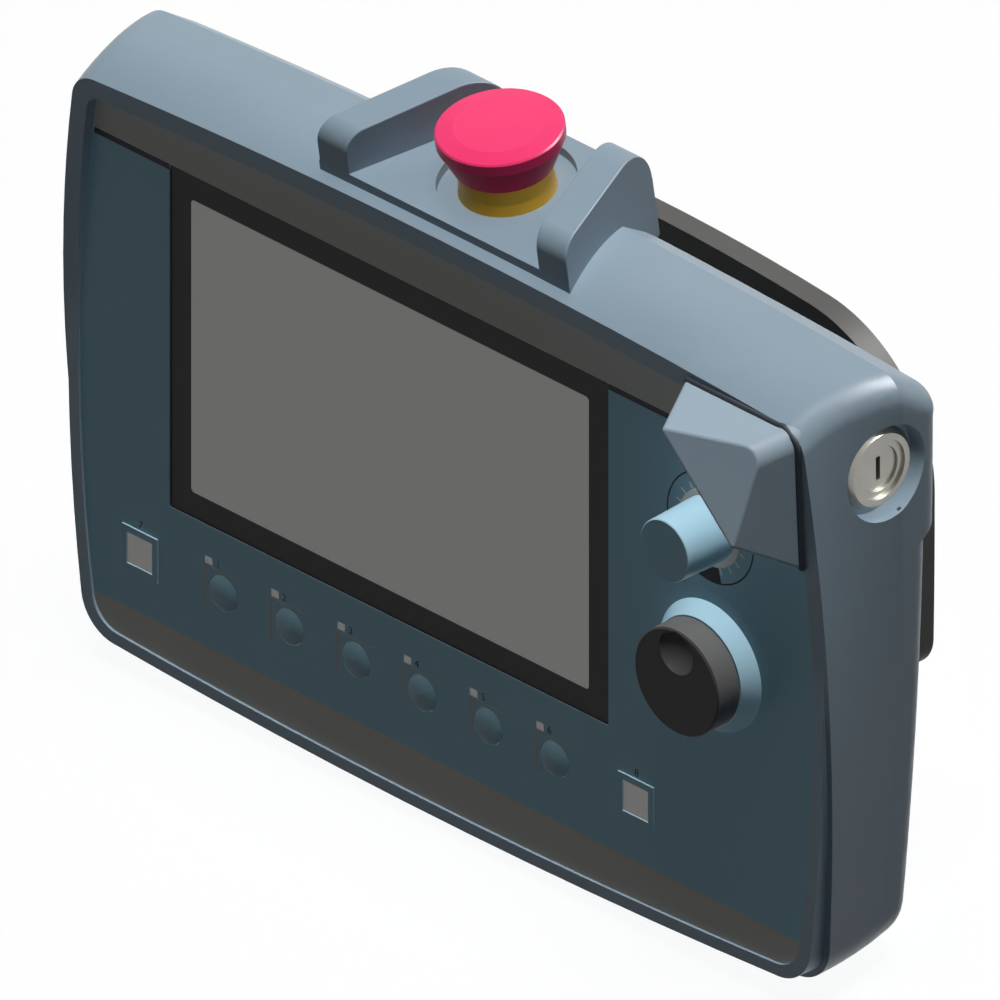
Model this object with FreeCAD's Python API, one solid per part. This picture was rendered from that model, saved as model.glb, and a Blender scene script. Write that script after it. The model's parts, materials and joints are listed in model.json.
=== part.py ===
import FreeCAD, Part
import math
import os

V = FreeCAD.Vector

# Handheld operator panel. Millimetres, x to the right, y to the back, z up.
# While the pieces are made, y = 0 is the face of the overlay and z = 0 the lowest line of the housing.

# Housing: outline seen from the front. The sides narrow by these lengths at three heights,
# at the face and at the seam, so the foot tapers to the rear and the shoulder widens.
HALF_WIDTH = 146.5
SIDE_HEIGHTS = (25.0, 97.4, 175.0)
FACE_NARROWING = (3.7, -0.4, 6.0)
SEAM_NARROWING = (8.45, 2.9, 1.0)
REAR_DRAFT = math.radians(6)
OVERLAY_SIDE_BOW = 520.0
END_BOW = 2050.0
TOP_CORNER = 9.0
LOW_CORNER = 15.0

# Housing: profile seen from the side
CROWN_Z = 194.8
CROWN_Y = 21.4
CROWN_RADIUS = 50.0
BELLY_RADIUS = 120.0
RIM_TOP_Y = -4.1
RIM_LOW_Y = 7.6
RIM_SAG = 1.85
SEAM_Y = 29.0
REAR_TOP_SLOPE = math.radians(34)
BACK_Y = 42.5
BACK_ROUND = 8.0
LOCK_HUMP = 3.7
LOCK_HUMP_LEFT = 22.0
LOCK_HUMP_LOW = 131.0
FRONT_STATIONS = (RIM_TOP_Y - 5.0, 2.0, 12.0, CROWN_Y, SEAM_Y)
REAR_STATIONS = (SEAM_Y, SEAM_Y + 24.0)

# Housing: walls
SHELL_WALL = 2.6
REAR_SIDE_WALL = 3.8
BACK_WALL = 2.8
BAND_INSET = 1.9
BAND_Y = -0.8
BAND_STATIONS = (BAND_Y, 6.0, 13.0)
RIM_WIDTH = 5.6
OVERLAY_TOP_CORNER = 4.5
OVERLAY_LOW_CORNER = 10.0
OVERLAY_THICKNESS = 0.5
FRONT_WALL = 2.9
DEEP_STATION = 14.0
SEAM_OVERCUT = 0.5
SEAL_INSET = 0.8
SEAL_WIDTH = 1.1
SEAL_DEPTH = 1.2

# Display
SCREEN_WIDTH = 152.4
SCREEN_HEIGHT = 91.4
SCREEN_X = -22.5
SCREEN_BELOW_CROWN = 82.2
SCREEN_Z = CROWN_Z - SCREEN_BELOW_CROWN
SCREEN_CORNER = 1.2
BEZEL_SIDE = 7.9
BEZEL_CORNER = 0.8
GLASS_BACK = 1.8
GLASS_SINK = 0.4
SCREEN_LEDGE = 1.2
LCD_MARGIN = 6.0
LCD_DEPTH = 6.2
LCD_CORNER = 2.0
BLACK_LINE = 1.8

# Circuit boards and their posts
BOARD_THICKNESS = 1.6
BOARD_OVERHANG = 10.0
BOARD_POST_INSET = 4.0
POST_RADIUS = 3.5
POST_GAP = 1.8
BOARD_SCREW_RADIUS = 1.25
BOARD_SCREW_HEAD = 2.6
BOARD_SCREW_HEAD_HEIGHT = 1.6
BOARD_SCREW_LENGTH = 7.0

# Keys
KEY_BELOW_BEZEL = 18.9
KEY_Z = SCREEN_Z - SCREEN_HEIGHT / 2 - BEZEL_SIDE - KEY_BELOW_BEZEL
FOOTER_BELOW_KEYS = 19.0
FOOTER_TOP = KEY_Z - FOOTER_BELOW_KEYS
KEY_COUNT = 6
KEY_FIRST_X = -86.1
KEY_PITCH = 25.4
KEY_RADIUS = 5.35
KEY_DOME = 0.55
KEY_TIP = 0.15
KEY_TIP_RADIUS = 0.4
KEY_CLEARANCE = 0.12
KEY_FLANGE = 1.0
KEY_FLANGE_THICKNESS = 0.9
LAMP_KEY_FROM_SIDE = 28.8
LAMP_KEY_RIGHT_X = 72.4
LAMP_KEY_X = (LAMP_KEY_FROM_SIDE - HALF_WIDTH, LAMP_KEY_RIGHT_X)
LAMP_KEY_SIDE = 9.4
LAMP_KEY_TRAVEL = 1.2
LAMP_KEY_PROUD = 0.25
FRAME_SIDE = 13.6
FRAME_PROUD = 0.5
LAMP_WIDTH = 2.8
LAMP_HEIGHT = 2.3
LAMP_LEFT = 5.5
LAMP_ABOVE = 8.2
NUB_RADIUS = 1.9
NUB_LENGTH = 1.1
SWITCH_SIDE = 6.2
SWITCH_HEIGHT = 3.2
SWITCH_GAP = 0.2
KEY_BOARD_HEIGHT = 22.0
KEY_BOARD_MARGIN = 9.0
KEY_BOARD_CORNER = 2.0

# Emergency stop and its shroud, built upright about the stop's axis and then tilted forward
STOP_Y = 23.0
STOP_Z = 193.0
STOP_TILT = 8.75
RECESS_RADIUS = 19.35
RECESS_DEPTH = 3.0
WELL_WALL = 1.8
WELL_FLOOR = 4.0
WELL_CLEARANCE = 0.2
SHROUD_FRONT = -24.3
SHROUD_REAR = 24.0
SHROUD_HALF_WIDTH = 47.9
SHROUD_TAPER = math.radians(18)
SHROUD_UNDER = -16.0
WING_THICKNESS = 11.5
WING_HEIGHT = 12.3
WING_RISE = 2.6
WING_FRONT_ROUND = 6.5
WING_REAR_ROUND = 14.0
SHROUD_EDGE = 0.4
COLLAR_RADIUS = 13.2
COLLAR_FOOT_RADIUS = 13.7
COLLAR_FOOT = 3.4
COLLAR_HEIGHT = 8.9
COLLAR_NECK_RADIUS = 11.0
CAP_RADIUS = 17.9
CAP_LIP_RADIUS = 14.0
CAP_LIP_Z = 8.4
CAP_BAND_Z = 17.0
CAP_BAND = 3.1
CAP_EDGE = 0.45
CAP_HEIGHT = 21.9
CAP_RING_RADIUS = 12.8
CAP_RING_DROP = 0.4
CAP_DISC_RADIUS = 3.9
CAP_ROOF_GAP = 1.2
CAP_BORE_CLEARANCE = 0.25
STOP_TRAVEL = 4.0
STEM_RADIUS = 5.0
STEM_REACH = 9.0
RUNNING_CLEARANCE = 0.06
CONTACT_SIDE = 24.0
CONTACT_DEPTH = 24.0
CONTACT_CORNER = 2.0

# Corner guard: how far its faces run from the housing's corner, and how far it stands forward
GUARD_TOP_GAP = 3.3
GUARD_SIDE_GAP = 6.6
GUARD_ALONG_TOP = 47.9
GUARD_ALONG_SIDE = 47.1
GUARD_REACH = 24.0
GUARD_TOP_TAPER = math.radians(11)
GUARD_SIDE_TAPER = math.radians(17)
GUARD_CUT_TOP = 12.4
GUARD_CUT_SIDE = 14.0
GUARD_CORNER = 6.0
GUARD_FACET_BACK = 8.0
GUARD_EDGE = 1.1

# Knobs on the front
KNOB_FROM_SIDE = 45.8
KNOB_X = HALF_WIDTH - KNOB_FROM_SIDE
OVERRIDE_Z = 137.0
OVERRIDE_BASE_RADIUS = 9.8
OVERRIDE_TIP_RADIUS = 9.3
OVERRIDE_HEIGHT = 17.7
OVERRIDE_EDGE = 0.3
OVERRIDE_COLLAR_RADIUS = 11.5
OVERRIDE_COLLAR_HEIGHT = 0.5
KNOB_GAP = 0.3
POT_RADIUS = 9.0
POT_DEPTH = 9.0
WHEEL_Z = 94.0
WHEEL_RADIUS = 16.05
WHEEL_FRONT = 13.2
WHEEL_EDGE = 0.5
WHEEL_BASE_RADIUS = 19.6
WHEEL_BASE_TIP_RADIUS = 16.4
WHEEL_BASE_HEIGHT = 4.6
DIMPLE_RADIUS = 6.5
DIMPLE_DEPTH = 4.2
DIMPLE_ABOVE = 9.2
ENCODER_SIDE = 26.0
ENCODER_DEPTH = 11.0
ENCODER_CORNER = 2.0
SHAFT_RADIUS = 3.0
SHAFT_GRIP = 8.0
BUSH_RADIUS = 4.5

# Key lock in the right-hand side
LOCK_Y = 24.0
LOCK_Z = 162.3
LOCK_FLOOR_FROM_SIDE = 7.9
LOCK_FLOOR_X = HALF_WIDTH - LOCK_FLOOR_FROM_SIDE
LOCK_FACE = 3.8
LOCK_POCKET_RADIUS = 14.4
LOCK_BOSS_WALL = 2.4
LOCK_RADIUS = 12.3
LOCK_BEVEL = 1.6
LOCK_DISH_RADIUS = 8.9
LOCK_DISH = 0.8
LOCK_BARREL_RADIUS = 10.9
LOCK_BARREL_LENGTH = 14.0
LOCK_CORE_RADIUS = 6.8
LOCK_CORE_SINK = 0.7
KEYWAY_WIDTH = 1.6
KEYWAY_HEIGHT = 7.2
KEYWAY_DEPTH = 9.0
LOCK_NUT_SIDE = 15.0
LOCK_NUT_THICKNESS = 3.0
LOCK_SWITCH_SIDE = 24.0
LOCK_SWITCH_LENGTH = 16.0

# Grip behind the housing
GRIP_Y = 72.8
GRIP_EDGE = 7.2
GRIP_DEPTH = 13.2
GRIP_CROWN_INSET = 16.0
GRIP_CROWN_SHARE = 0.3
GRIP_HALF_WIDTH = 106.7
GRIP_TOP = 166.5
GRIP_LOW = 59.6
GRIP_TOP_BOW = 655.0
GRIP_LOW_BOW = 3000.0
GRIP_SIDE_BOW = 2000.0
GRIP_TOP_CORNER = 45.0
GRIP_LOW_CORNER = 11.0
PAD_INSET = 22.0
PAD_SEAT = 1.5
PAD_PROUD = 0.5
NECK_HALF_WIDTH = 33.0
NECK_LOW = 76.0
NECK_HIGH = 152.0
NECK_CORNER = 10.0
NECK_WALL = 3.0
PADDLE_WIDTH = 46.0
PADDLE_HEIGHT = 58.0
PADDLE_X = 67.0
PADDLE_Z = 110.0
PADDLE_CORNER = 8.0
PADDLE_THICKNESS = 5.0
PADDLE_PROUD = 3.0
PADDLE_TRAVEL = 3.5
PADDLE_CLEARANCE = 0.3
PADDLE_SWITCH_WIDTH = 20.0
PADDLE_SWITCH_HEIGHT = 8.0
PADDLE_SWITCH_DEPTH = 3.2
PADDLE_SWITCH_GAP = 0.5

# Screws of the shells and of the grip
SHELL_SCREW_FROM_SIDE = 48.5
SHELL_SCREW_TOP_X = HALF_WIDTH - SHELL_SCREW_FROM_SIDE
SHELL_SCREW_INNER_X = 40.0
SHELL_SCREW_LOW_FROM_SIDE = 28.5
SHELL_SCREW_LOW_X = (SHELL_SCREW_INNER_X, HALF_WIDTH - SHELL_SCREW_LOW_FROM_SIDE)
SHELL_SCREW_ABOVE_BOARD = 4.8
SHELL_SCREW_LOW = 18.0
SHELL_POST_RADIUS = 4.0
SHELL_TUBE_RADIUS = 5.2
SCREW_RADIUS = 1.5
SCREW_HEAD_RADIUS = 3.0
SCREW_HEAD_HEIGHT = 2.4
SCREW_SINK = 1.0
SCREW_CLEARANCE = 0.2
SCREW_BITE = 12.0
HEX_SOCKET = 1.25
GRIP_SCREW_X = 26.0
GRIP_SCREW_RISE = 30.0
GRIP_SCREW_RADIUS = 2.0
GRIP_SCREW_HEAD_RADIUS = 3.6
GRIP_SCREW_HEAD_HEIGHT = 3.0
GRIP_SCREW_BITE = 14.0
GRIP_BOSS_RADIUS = 5.0

# Cable entry under the neck
GLAND_Y = 57.0
GLAND_THREAD_RADIUS = 6.0
GLAND_BORE_RADIUS = 4.0
GLAND_HEX = 10.0
GLAND_HEX_HEIGHT = 5.0
GLAND_DOME_RADIUS = 8.0
GLAND_DOME_HEIGHT = 8.0
GLAND_NUT_HEIGHT = 4.0

# Reach of the cutting tools past what they cut
PAST = 40.0


def box(x0, x1, y0, y1, z0, z1):
    return Part.makeBox(x1 - x0, y1 - y0, z1 - z0, V(x0, y0, z0))


def round_box(half_width, half_height, corner, x, z, y0, y1):
    """A plate standing in the xz plane, with its four upright edges rounded."""
    plate = box(x - half_width, x + half_width, y0, y1, z - half_height, z + half_height)
    edges = [e for e in plate.Edges if abs(e.tangentAt(e.FirstParameter).y) > 0.9]
    return plate.makeFillet(corner, edges)


def rod_y(radius, x, z, y0, y1):
    return Part.makeCylinder(radius, y1 - y0, V(x, y0, z), V(0, 1, 0))


def rod_x(radius, y, z, x0, x1):
    return Part.makeCylinder(radius, x1 - x0, V(x0, y, z), V(1, 0, 0))


def rod_z(radius, x, y, z0, z1):
    return Part.makeCylinder(radius, z1 - z0, V(x, y, z0))


def hexagon(across, height):
    """A hexagonal block on the xy plane, with its corners at half of across corners."""
    corners = [V(across * math.cos(a), across * math.sin(a), 0)
               for a in (math.radians(60 * i) for i in range(7))]
    return Part.Face(Part.makePolygon(corners)).extrude(V(0, 0, height))


def prism_x(points, x0, x1):
    """A block that runs along x, from its outline in y and z."""
    corners = [V(x0, y, z) for y, z in points]
    return Part.Face(Part.makePolygon(corners + corners[:1])).extrude(V(x1 - x0, 0, 0))


def turned(profile):
    """A solid of revolution about z, from its outline in radius and height."""
    corners = [V(r, 0, z) for r, z in profile]
    return Part.Face(Part.makePolygon(corners + corners[:1])).revolve(V(0, 0, 0), V(0, 0, 1), 360)


def turned_front(profile, x, z):
    """A solid of revolution about the axis that leaves the front at x, z. Heights count forward."""
    shape = turned(profile)
    shape.rotate(V(0, 0, 0), V(1, 0, 0), 90)
    shape.translate(V(x, 0, z))
    return shape


def turned_side(profile):
    """A solid of revolution about the lock's axis. Heights count outward from the pocket's floor."""
    shape = turned(profile)
    shape.rotate(V(0, 0, 0), V(0, 1, 0), 90)
    shape.translate(V(LOCK_FLOOR_X, LOCK_Y, LOCK_Z))
    return shape


def fused(first, *others):
    return first.fuse(list(others))


def corner_centre(end, end_radius, side, side_radius, up):
    """Where two circles cross that lie a corner radius inside the bowed end and the bowed side."""
    along = side.sub(end)
    gap = along.Length
    reach = (gap ** 2 + end_radius ** 2 - side_radius ** 2) / (2 * gap)
    rise = math.sqrt(end_radius ** 2 - reach ** 2)
    along.normalize()
    across = V(-along.z, 0, along.x)
    meetings = [end + along * reach + across * (rise * turn) for turn in (1, -1)]
    return max(meetings, key=lambda point: up * point.z)


def outline(y, half_width, waist, low, high, bows, corners, inset=0.0):
    """A closed outline at y of eight tangent arcs: bowed ends and sides with rounded corners.

    waist is the height of the widest place, bows are the radii of the lower end, the upper end and
    the sides, corners the lower and the upper radius.
    """
    low_bow, high_bow, side_bow = bows
    side = V(half_width - side_bow, y, waist)
    ends = ((V(0, y, high - high_bow), high_bow, corners[1], 1),
            (V(0, y, low + low_bow), low_bow, corners[0], -1))
    rounds = []
    for end, end_bow, corner, up in ends:
        centre = corner_centre(end, end_bow - corner, side, side_bow - corner, up)
        to_end = centre.sub(end).normalize()
        to_side = centre.sub(side).normalize()
        middle = (to_end + to_side).normalize()
        radius = corner - inset
        on_end = centre + to_end * radius
        on_side = centre + to_side * radius
        rounds.append((on_end, centre + middle * radius, on_side, end + V(0, 0, up * (end_bow - inset))))
    (top, top_mid, top_side, crest), (low_end, low_mid, low_side, keel) = rounds
    flank = side + ((top_side + low_side) / 2 - side).normalize() * (side_bow - inset)

    def mirror(point):
        return V(-point.x, point.y, point.z)

    stations = [(mirror(top), crest, top), (top, top_mid, top_side), (top_side, flank, low_side),
                (low_side, low_mid, low_end), (low_end, keel, mirror(low_end)),
                (mirror(low_end), mirror(low_mid), mirror(low_side)),
                (mirror(low_side), mirror(flank), mirror(top_side)),
                (mirror(top_side), mirror(top_mid), mirror(top))]
    return Part.Wire([Part.Arc(*three).toShape() for three in stations])


def bowed_drop(y, radius):
    return radius - math.sqrt(radius ** 2 - (y - CROWN_Y) ** 2)


def top_z(y):
    """Height of the housing's top edge line at x = 0."""
    if y > SEAM_Y:
        return top_z(SEAM_Y) - (y - SEAM_Y) * math.tan(REAR_TOP_SLOPE)
    return CROWN_Z - bowed_drop(y, CROWN_RADIUS)


def side_arc(y):
    """Half width, height of the widest place and bow radius of the housing's sides at y."""
    share = (min(y, SEAM_Y) - RIM_TOP_Y) / (SEAM_Y - RIM_TOP_Y)
    taper = max(y - SEAM_Y, 0) * math.tan(REAR_DRAFT)
    points = []
    for z, face, seam in zip(SIDE_HEIGHTS, FACE_NARROWING, SEAM_NARROWING):
        points.append(V(HALF_WIDTH - face - (seam - face) * share - taper, y, z))
    arc = Part.Circle(*points)
    return arc.Center.x + arc.Radius, arc.Center.z, arc.Radius


def housing_section(y, inset=0.0):
    half_width, waist, side_bow = side_arc(y)
    return outline(y, half_width, waist, bowed_drop(y, BELLY_RADIUS), top_z(y), (END_BOW, END_BOW, side_bow),
                   (LOW_CORNER, TOP_CORNER), inset)


def housing_loft(stations, inset=0.0):
    return Part.makeLoft([housing_section(y, inset) for y in stations], True, False)


def before_back(offset):
    """The space in front of the housing's back."""
    return box(-2 * HALF_WIDTH, 2 * HALF_WIDTH, -PAST, BACK_Y + offset, -PAST, CROWN_Z + PAST)


def rounded_back(offset):
    """The rear half's outer form: tapered sides, sloping top, flat back, rounded rear edge."""
    form = housing_loft(REAR_STATIONS).common(before_back(offset)).Solids[0]
    back = max(form.Faces, key=lambda face: face.CenterOfMass.y)
    return form.makeFillet(BACK_ROUND, back.OuterWire.Edges)


def rear_form():
    """The rear half with the thicker upper right part behind the key lock, which slopes off to the rest."""
    far = 2 * SEAM_Y
    high = CROWN_Z + PAST
    above = prism_x([(SEAM_Y, LOCK_HUMP_LOW), (far, LOCK_HUMP_LOW + SEAM_Y / 2), (far, high), (SEAM_Y, high)],
                    LOCK_HUMP_LEFT, 2 * HALF_WIDTH)
    beside = plan_block([(LOCK_HUMP_LEFT, SEAM_Y), (2 * HALF_WIDTH, SEAM_Y), (2 * HALF_WIDTH, far),
                         (LOCK_HUMP_LEFT + SEAM_Y, far)], 0, high)
    hump = rounded_back(LOCK_HUMP).common(above).common(beside)
    return fused(rounded_back(0.0), hump)


def rim_space():
    """Everything behind the bowed face of the rim."""
    high = CROWN_Z + PAST
    top = V(-2 * HALF_WIDTH, RIM_TOP_Y, CROWN_Z)
    low = V(-2 * HALF_WIDTH, RIM_LOW_Y, 0)
    middle = (top + low) / 2 - V(0, RIM_SAG, 0)
    rear = CROWN_Z
    far = [V(low.x, RIM_LOW_Y, -PAST), V(low.x, rear, -PAST), V(low.x, rear, high), V(low.x, RIM_TOP_Y, high)]
    lines = [Part.LineSegment(a, b).toShape() for a, b in zip([low] + far, far + [top])]
    wire = Part.Wire([Part.Arc(top, middle, low).toShape()] + lines)
    return Part.Face(wire).extrude(V(4 * HALF_WIDTH, 0, 0))


def front_form():
    """The front half's outer form: bowed rim, with the flat inner band standing out of its lower part."""
    rim = housing_loft(FRONT_STATIONS).common(rim_space()).Solids[0]
    band = housing_loft(BAND_STATIONS, BAND_INSET)
    return fused(rim, band)


def overlay_plate(y0, y1):
    """The recessed face inside the rim, as a plate from y0 to y1."""
    high = top_z(RIM_TOP_Y) - RIM_WIDTH
    low = bowed_drop(BAND_Y, BELLY_RADIUS) + RIM_WIDTH
    bows = (END_BOW, END_BOW, OVERLAY_SIDE_BOW)
    wire = outline(y0, HALF_WIDTH - RIM_WIDTH, (low + high) / 2, low, high, bows,
                   (OVERLAY_LOW_CORNER, OVERLAY_TOP_CORNER))
    return Part.Face(wire).extrude(V(0, y1 - y0, 0))


WALL_BACK = OVERLAY_THICKNESS + FRONT_WALL
BEZEL_HALF_WIDTH = SCREEN_WIDTH / 2 + BEZEL_SIDE
BEZEL_HALF_HEIGHT = SCREEN_HEIGHT / 2 + BEZEL_SIDE
KEYPAD_TOP = SCREEN_Z + BEZEL_HALF_HEIGHT - BLACK_LINE
KEY_PLACES = [KEY_FIRST_X + i * KEY_PITCH for i in range(KEY_COUNT)]
KEY_BACK = WALL_BACK + SWITCH_GAP
KEY_FLANGE_BACK = KEY_BACK + KEY_FLANGE_THICKNESS
NUB_END = KEY_FLANGE_BACK + NUB_LENGTH
SWITCH_FRONT = NUB_END + LAMP_KEY_TRAVEL + SWITCH_GAP
KEY_BOARD_Y = SWITCH_FRONT + SWITCH_HEIGHT
BOARD_Y = WALL_BACK + LCD_DEPTH + POST_GAP
BOARD_HALF_WIDTH = BEZEL_HALF_WIDTH + BOARD_OVERHANG
BOARD_HALF_HEIGHT = BEZEL_HALF_HEIGHT + BOARD_OVERHANG / 2
SHELL_SCREW_TOP = SCREEN_Z + BOARD_HALF_HEIGHT + SHELL_SCREW_ABOVE_BOARD
LOCK_FACE_X = LOCK_FLOOR_X + LOCK_FACE
GRIP_REAR = GRIP_Y + GRIP_DEPTH
PADDLE_FRONT = GRIP_Y - PADDLE_PROUD
PADDLE_BACK = PADDLE_FRONT + PADDLE_THICKNESS
PADDLE_SWITCH_Y = PADDLE_BACK + PADDLE_TRAVEL + PADDLE_SWITCH_GAP
PADDLE_FLOOR = PADDLE_SWITCH_Y + PADDLE_SWITCH_DEPTH
NECK_MID = (NECK_LOW + NECK_HIGH) / 2
SHELL_SCREW_SEAT = BACK_Y - SCREW_SINK - SCREW_HEAD_HEIGHT
CAP_ROOF = COLLAR_HEIGHT + STOP_TRAVEL + CAP_ROOF_GAP
ORIGIN_Y = (GRIP_REAR + PAD_PROUD - GUARD_REACH) / 2


def board_posts():
    """Centres of the main board's four posts."""
    reach_x = BOARD_HALF_WIDTH - BOARD_POST_INSET
    reach_z = BOARD_HALF_HEIGHT - BOARD_POST_INSET
    return [(SCREEN_X + i * reach_x, SCREEN_Z + k * reach_z) for i in (-1, 1) for k in (-1, 1)]


def key_board_span():
    margin = FRAME_SIDE / 2 + KEY_BOARD_MARGIN
    return LAMP_KEY_X[0] - margin, LAMP_KEY_X[1] + margin


def key_board_posts():
    left, right = key_board_span()
    return [(x, KEY_Z) for x in (left + POST_RADIUS + 1, right - POST_RADIUS - 1)]


def shell_screw_places():
    right = [(SHELL_SCREW_TOP_X, SHELL_SCREW_TOP)] + [(x, SHELL_SCREW_LOW) for x in SHELL_SCREW_LOW_X]
    return right + [(-x, z) for x, z in right]


def grip_screw_places():
    return [(i * GRIP_SCREW_X, NECK_MID + k * GRIP_SCREW_RISE) for i in (-1, 1) for k in (-1, 1)]


def tilted(shape):
    """Carries a piece that was made upright to the emergency stop's place and lean."""
    shape.rotate(V(0, 0, 0), V(1, 0, 0), STOP_TILT)
    shape.translate(V(0, STOP_Y, STOP_Z))
    return shape


def stop_opening():
    """Hole in the top of the shells for the shroud's well and, below it, the contact block."""
    radius = RECESS_RADIUS + WELL_WALL + WELL_CLEARANCE
    well = Part.makeCylinder(radius, PAST, V(0, 0, -WELL_FLOOR - WELL_CLEARANCE))
    block = Part.makeCylinder(CONTACT_SIDE * math.sqrt(0.5), PAST, V(0, 0, -WELL_FLOOR - CONTACT_DEPTH / 2))
    return tilted(well.fuse(block))


def lock_cup(form):
    """The cup in the side wall that the key lock sits in, cut to a half of the housing."""
    radius = LOCK_POCKET_RADIUS + LOCK_BOSS_WALL
    cup = rod_x(radius, LOCK_Y, LOCK_Z, LOCK_FLOOR_X - LOCK_BOSS_WALL, 2 * HALF_WIDTH)
    return cup.cut(lock_pocket()).common(form).cut(seal_ring(SEAL_DEPTH))


def lock_pocket():
    pocket = rod_x(LOCK_POCKET_RADIUS, LOCK_Y, LOCK_Z, LOCK_FLOOR_X, 2 * HALF_WIDTH)
    hole = rod_x(LOCK_BARREL_RADIUS, LOCK_Y, LOCK_Z, LOCK_FLOOR_X - PAST, 2 * HALF_WIDTH)
    return pocket.fuse(hole)


def seal_ring(depth):
    outer = Part.Face(housing_section(SEAM_Y, SEAL_INSET))
    inner = Part.Face(housing_section(SEAM_Y, SEAL_INSET + SEAL_WIDTH))
    ring = outer.cut(inner).extrude(V(0, depth, 0))
    ring.translate(V(0, -depth / 2, 0))
    return ring


def shared_openings():
    """What is open across the seam of the two shells: lock pocket, stop opening and seal groove."""
    return [lock_pocket(), stop_opening(), seal_ring(SEAL_DEPTH)]


def make_front_shell():
    form = front_form()
    shell = form.cut(overlay_plate(-PAST, OVERLAY_THICKNESS))
    deep = housing_loft((WALL_BACK, DEEP_STATION, SEAM_Y + SEAM_OVERCUT), SHELL_WALL + BAND_INSET)
    wide = housing_loft((RIM_LOW_Y + RIM_WIDTH, CROWN_Y, SEAM_Y + SEAM_OVERCUT), SHELL_WALL)
    shell = shell.cut([deep, wide] + shared_openings())
    posts = [rod_y(POST_RADIUS, x, z, WALL_BACK, BOARD_Y) for x, z in board_posts()]
    posts += [rod_y(POST_RADIUS, x, z, WALL_BACK, KEY_BOARD_Y) for x, z in key_board_posts()]
    posts += [rod_y(SHELL_POST_RADIUS, x, z, WALL_BACK, SEAM_Y) for x, z in shell_screw_places()]
    shell = fused(shell, lock_cup(form), *posts)

    window = round_box(SCREEN_WIDTH / 2 - SCREEN_LEDGE, SCREEN_HEIGHT / 2 - SCREEN_LEDGE, SCREEN_CORNER,
                       SCREEN_X, SCREEN_Z, -1, WALL_BACK)
    cuts = [bezel_plate(-1), window]
    cuts += [rod_y(KEY_RADIUS + KEY_CLEARANCE, x, KEY_Z, -1, WALL_BACK) for x in KEY_PLACES]
    half = LAMP_KEY_SIDE / 2 + KEY_CLEARANCE
    cuts += [box(x - half, x + half, -1, WALL_BACK, KEY_Z - half, KEY_Z + half) for x in LAMP_KEY_X]
    cuts += [rod_y(BUSH_RADIUS, KNOB_X, z, -1, WALL_BACK) for z in (OVERRIDE_Z, WHEEL_Z)]
    cuts += [rod_y(SCREW_RADIUS, x, z, SEAM_Y - SCREW_BITE, SEAM_Y + 1) for x, z in shell_screw_places()]
    pilot = BOARD_SCREW_LENGTH - BOARD_THICKNESS
    cuts += [rod_y(BOARD_SCREW_RADIUS, x, z, BOARD_Y - pilot, BOARD_Y) for x, z in board_posts()]
    cuts += [rod_y(BOARD_SCREW_RADIUS, x, z, KEY_BOARD_Y - pilot, KEY_BOARD_Y) for x, z in key_board_posts()]
    return shell.cut(cuts)


def make_rear_shell():
    form = rear_form()
    hollow = housing_loft(REAR_STATIONS, REAR_SIDE_WALL).common(before_back(-BACK_WALL))
    shell = form.cut([hollow] + shared_openings())
    tubes = [rod_y(SHELL_TUBE_RADIUS, x, z, SEAM_Y, BACK_Y - BACK_WALL / 2) for x, z in shell_screw_places()]
    shell = fused(shell, lock_cup(form), *tubes)
    cuts = []
    for x, z in shell_screw_places():
        cuts.append(rod_y(SCREW_HEAD_RADIUS + SCREW_CLEARANCE, x, z, SHELL_SCREW_SEAT, BACK_Y + PAST))
        cuts.append(rod_y(SCREW_RADIUS + SCREW_CLEARANCE, x, z, SEAM_Y - 1, SHELL_SCREW_SEAT + 1))
    half_width = NECK_HALF_WIDTH - NECK_WALL - 2 * GRIP_BOSS_RADIUS
    half_height = (NECK_HIGH - NECK_LOW) / 2 - NECK_WALL - 2 * GRIP_BOSS_RADIUS
    cuts.append(round_box(half_width, half_height, NECK_CORNER / 2, 0, NECK_MID, SEAM_Y, SEAM_Y + PAST))
    return shell.cut(cuts)


def make_housing_seal():
    return seal_ring(SEAL_DEPTH).cut([lock_pocket(), stop_opening()])


def socket_screw(radius, head_radius, head_height, x, z, seat, tip):
    """A screw driven along y, its head behind the seat and its tip in front."""
    screw = rod_y(radius, x, z, tip, seat).fuse(rod_y(head_radius, x, z, seat, seat + head_height))
    socket = hexagon(HEX_SOCKET * radius / SCREW_RADIUS, head_height)
    socket.rotate(V(0, 0, 0), V(1, 0, 0), -90)
    socket.translate(V(x, seat + head_height / 2, z))
    return screw.cut(socket)


def make_shell_screws():
    return Part.Compound([socket_screw(SCREW_RADIUS, SCREW_HEAD_RADIUS, SCREW_HEAD_HEIGHT, x, z,
                                       SHELL_SCREW_SEAT, SEAM_Y - SCREW_BITE)
                          for x, z in shell_screw_places()])


def overlay_cuts():
    """What the printed sheets leave open: display, keys, lamps and knob shafts."""
    cuts = [bezel_plate(-1)]
    cuts += [rod_y(KEY_RADIUS + KEY_CLEARANCE, x, KEY_Z, -1, 1) for x in KEY_PLACES]
    cuts += [key_square(x, FRAME_SIDE, -1, 1) for x in LAMP_KEY_X]
    cuts += [rod_y(BUSH_RADIUS, KNOB_X, z, -1, 1) for z in (OVERRIDE_Z, WHEEL_Z)]
    return cuts + lamp_blocks(-1, 1)


def key_square(x, side, y0, y1):
    return box(x - side / 2, x + side / 2, y0, y1, KEY_Z - side / 2, KEY_Z + side / 2)


def lamp_blocks(y0, y1):
    blocks = []
    for x in KEY_PLACES:
        left = x - LAMP_LEFT - LAMP_WIDTH / 2
        low = KEY_Z + LAMP_ABOVE - LAMP_HEIGHT / 2
        blocks.append(box(left, left + LAMP_WIDTH, y0, y1, low, low + LAMP_HEIGHT))
    return blocks


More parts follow.
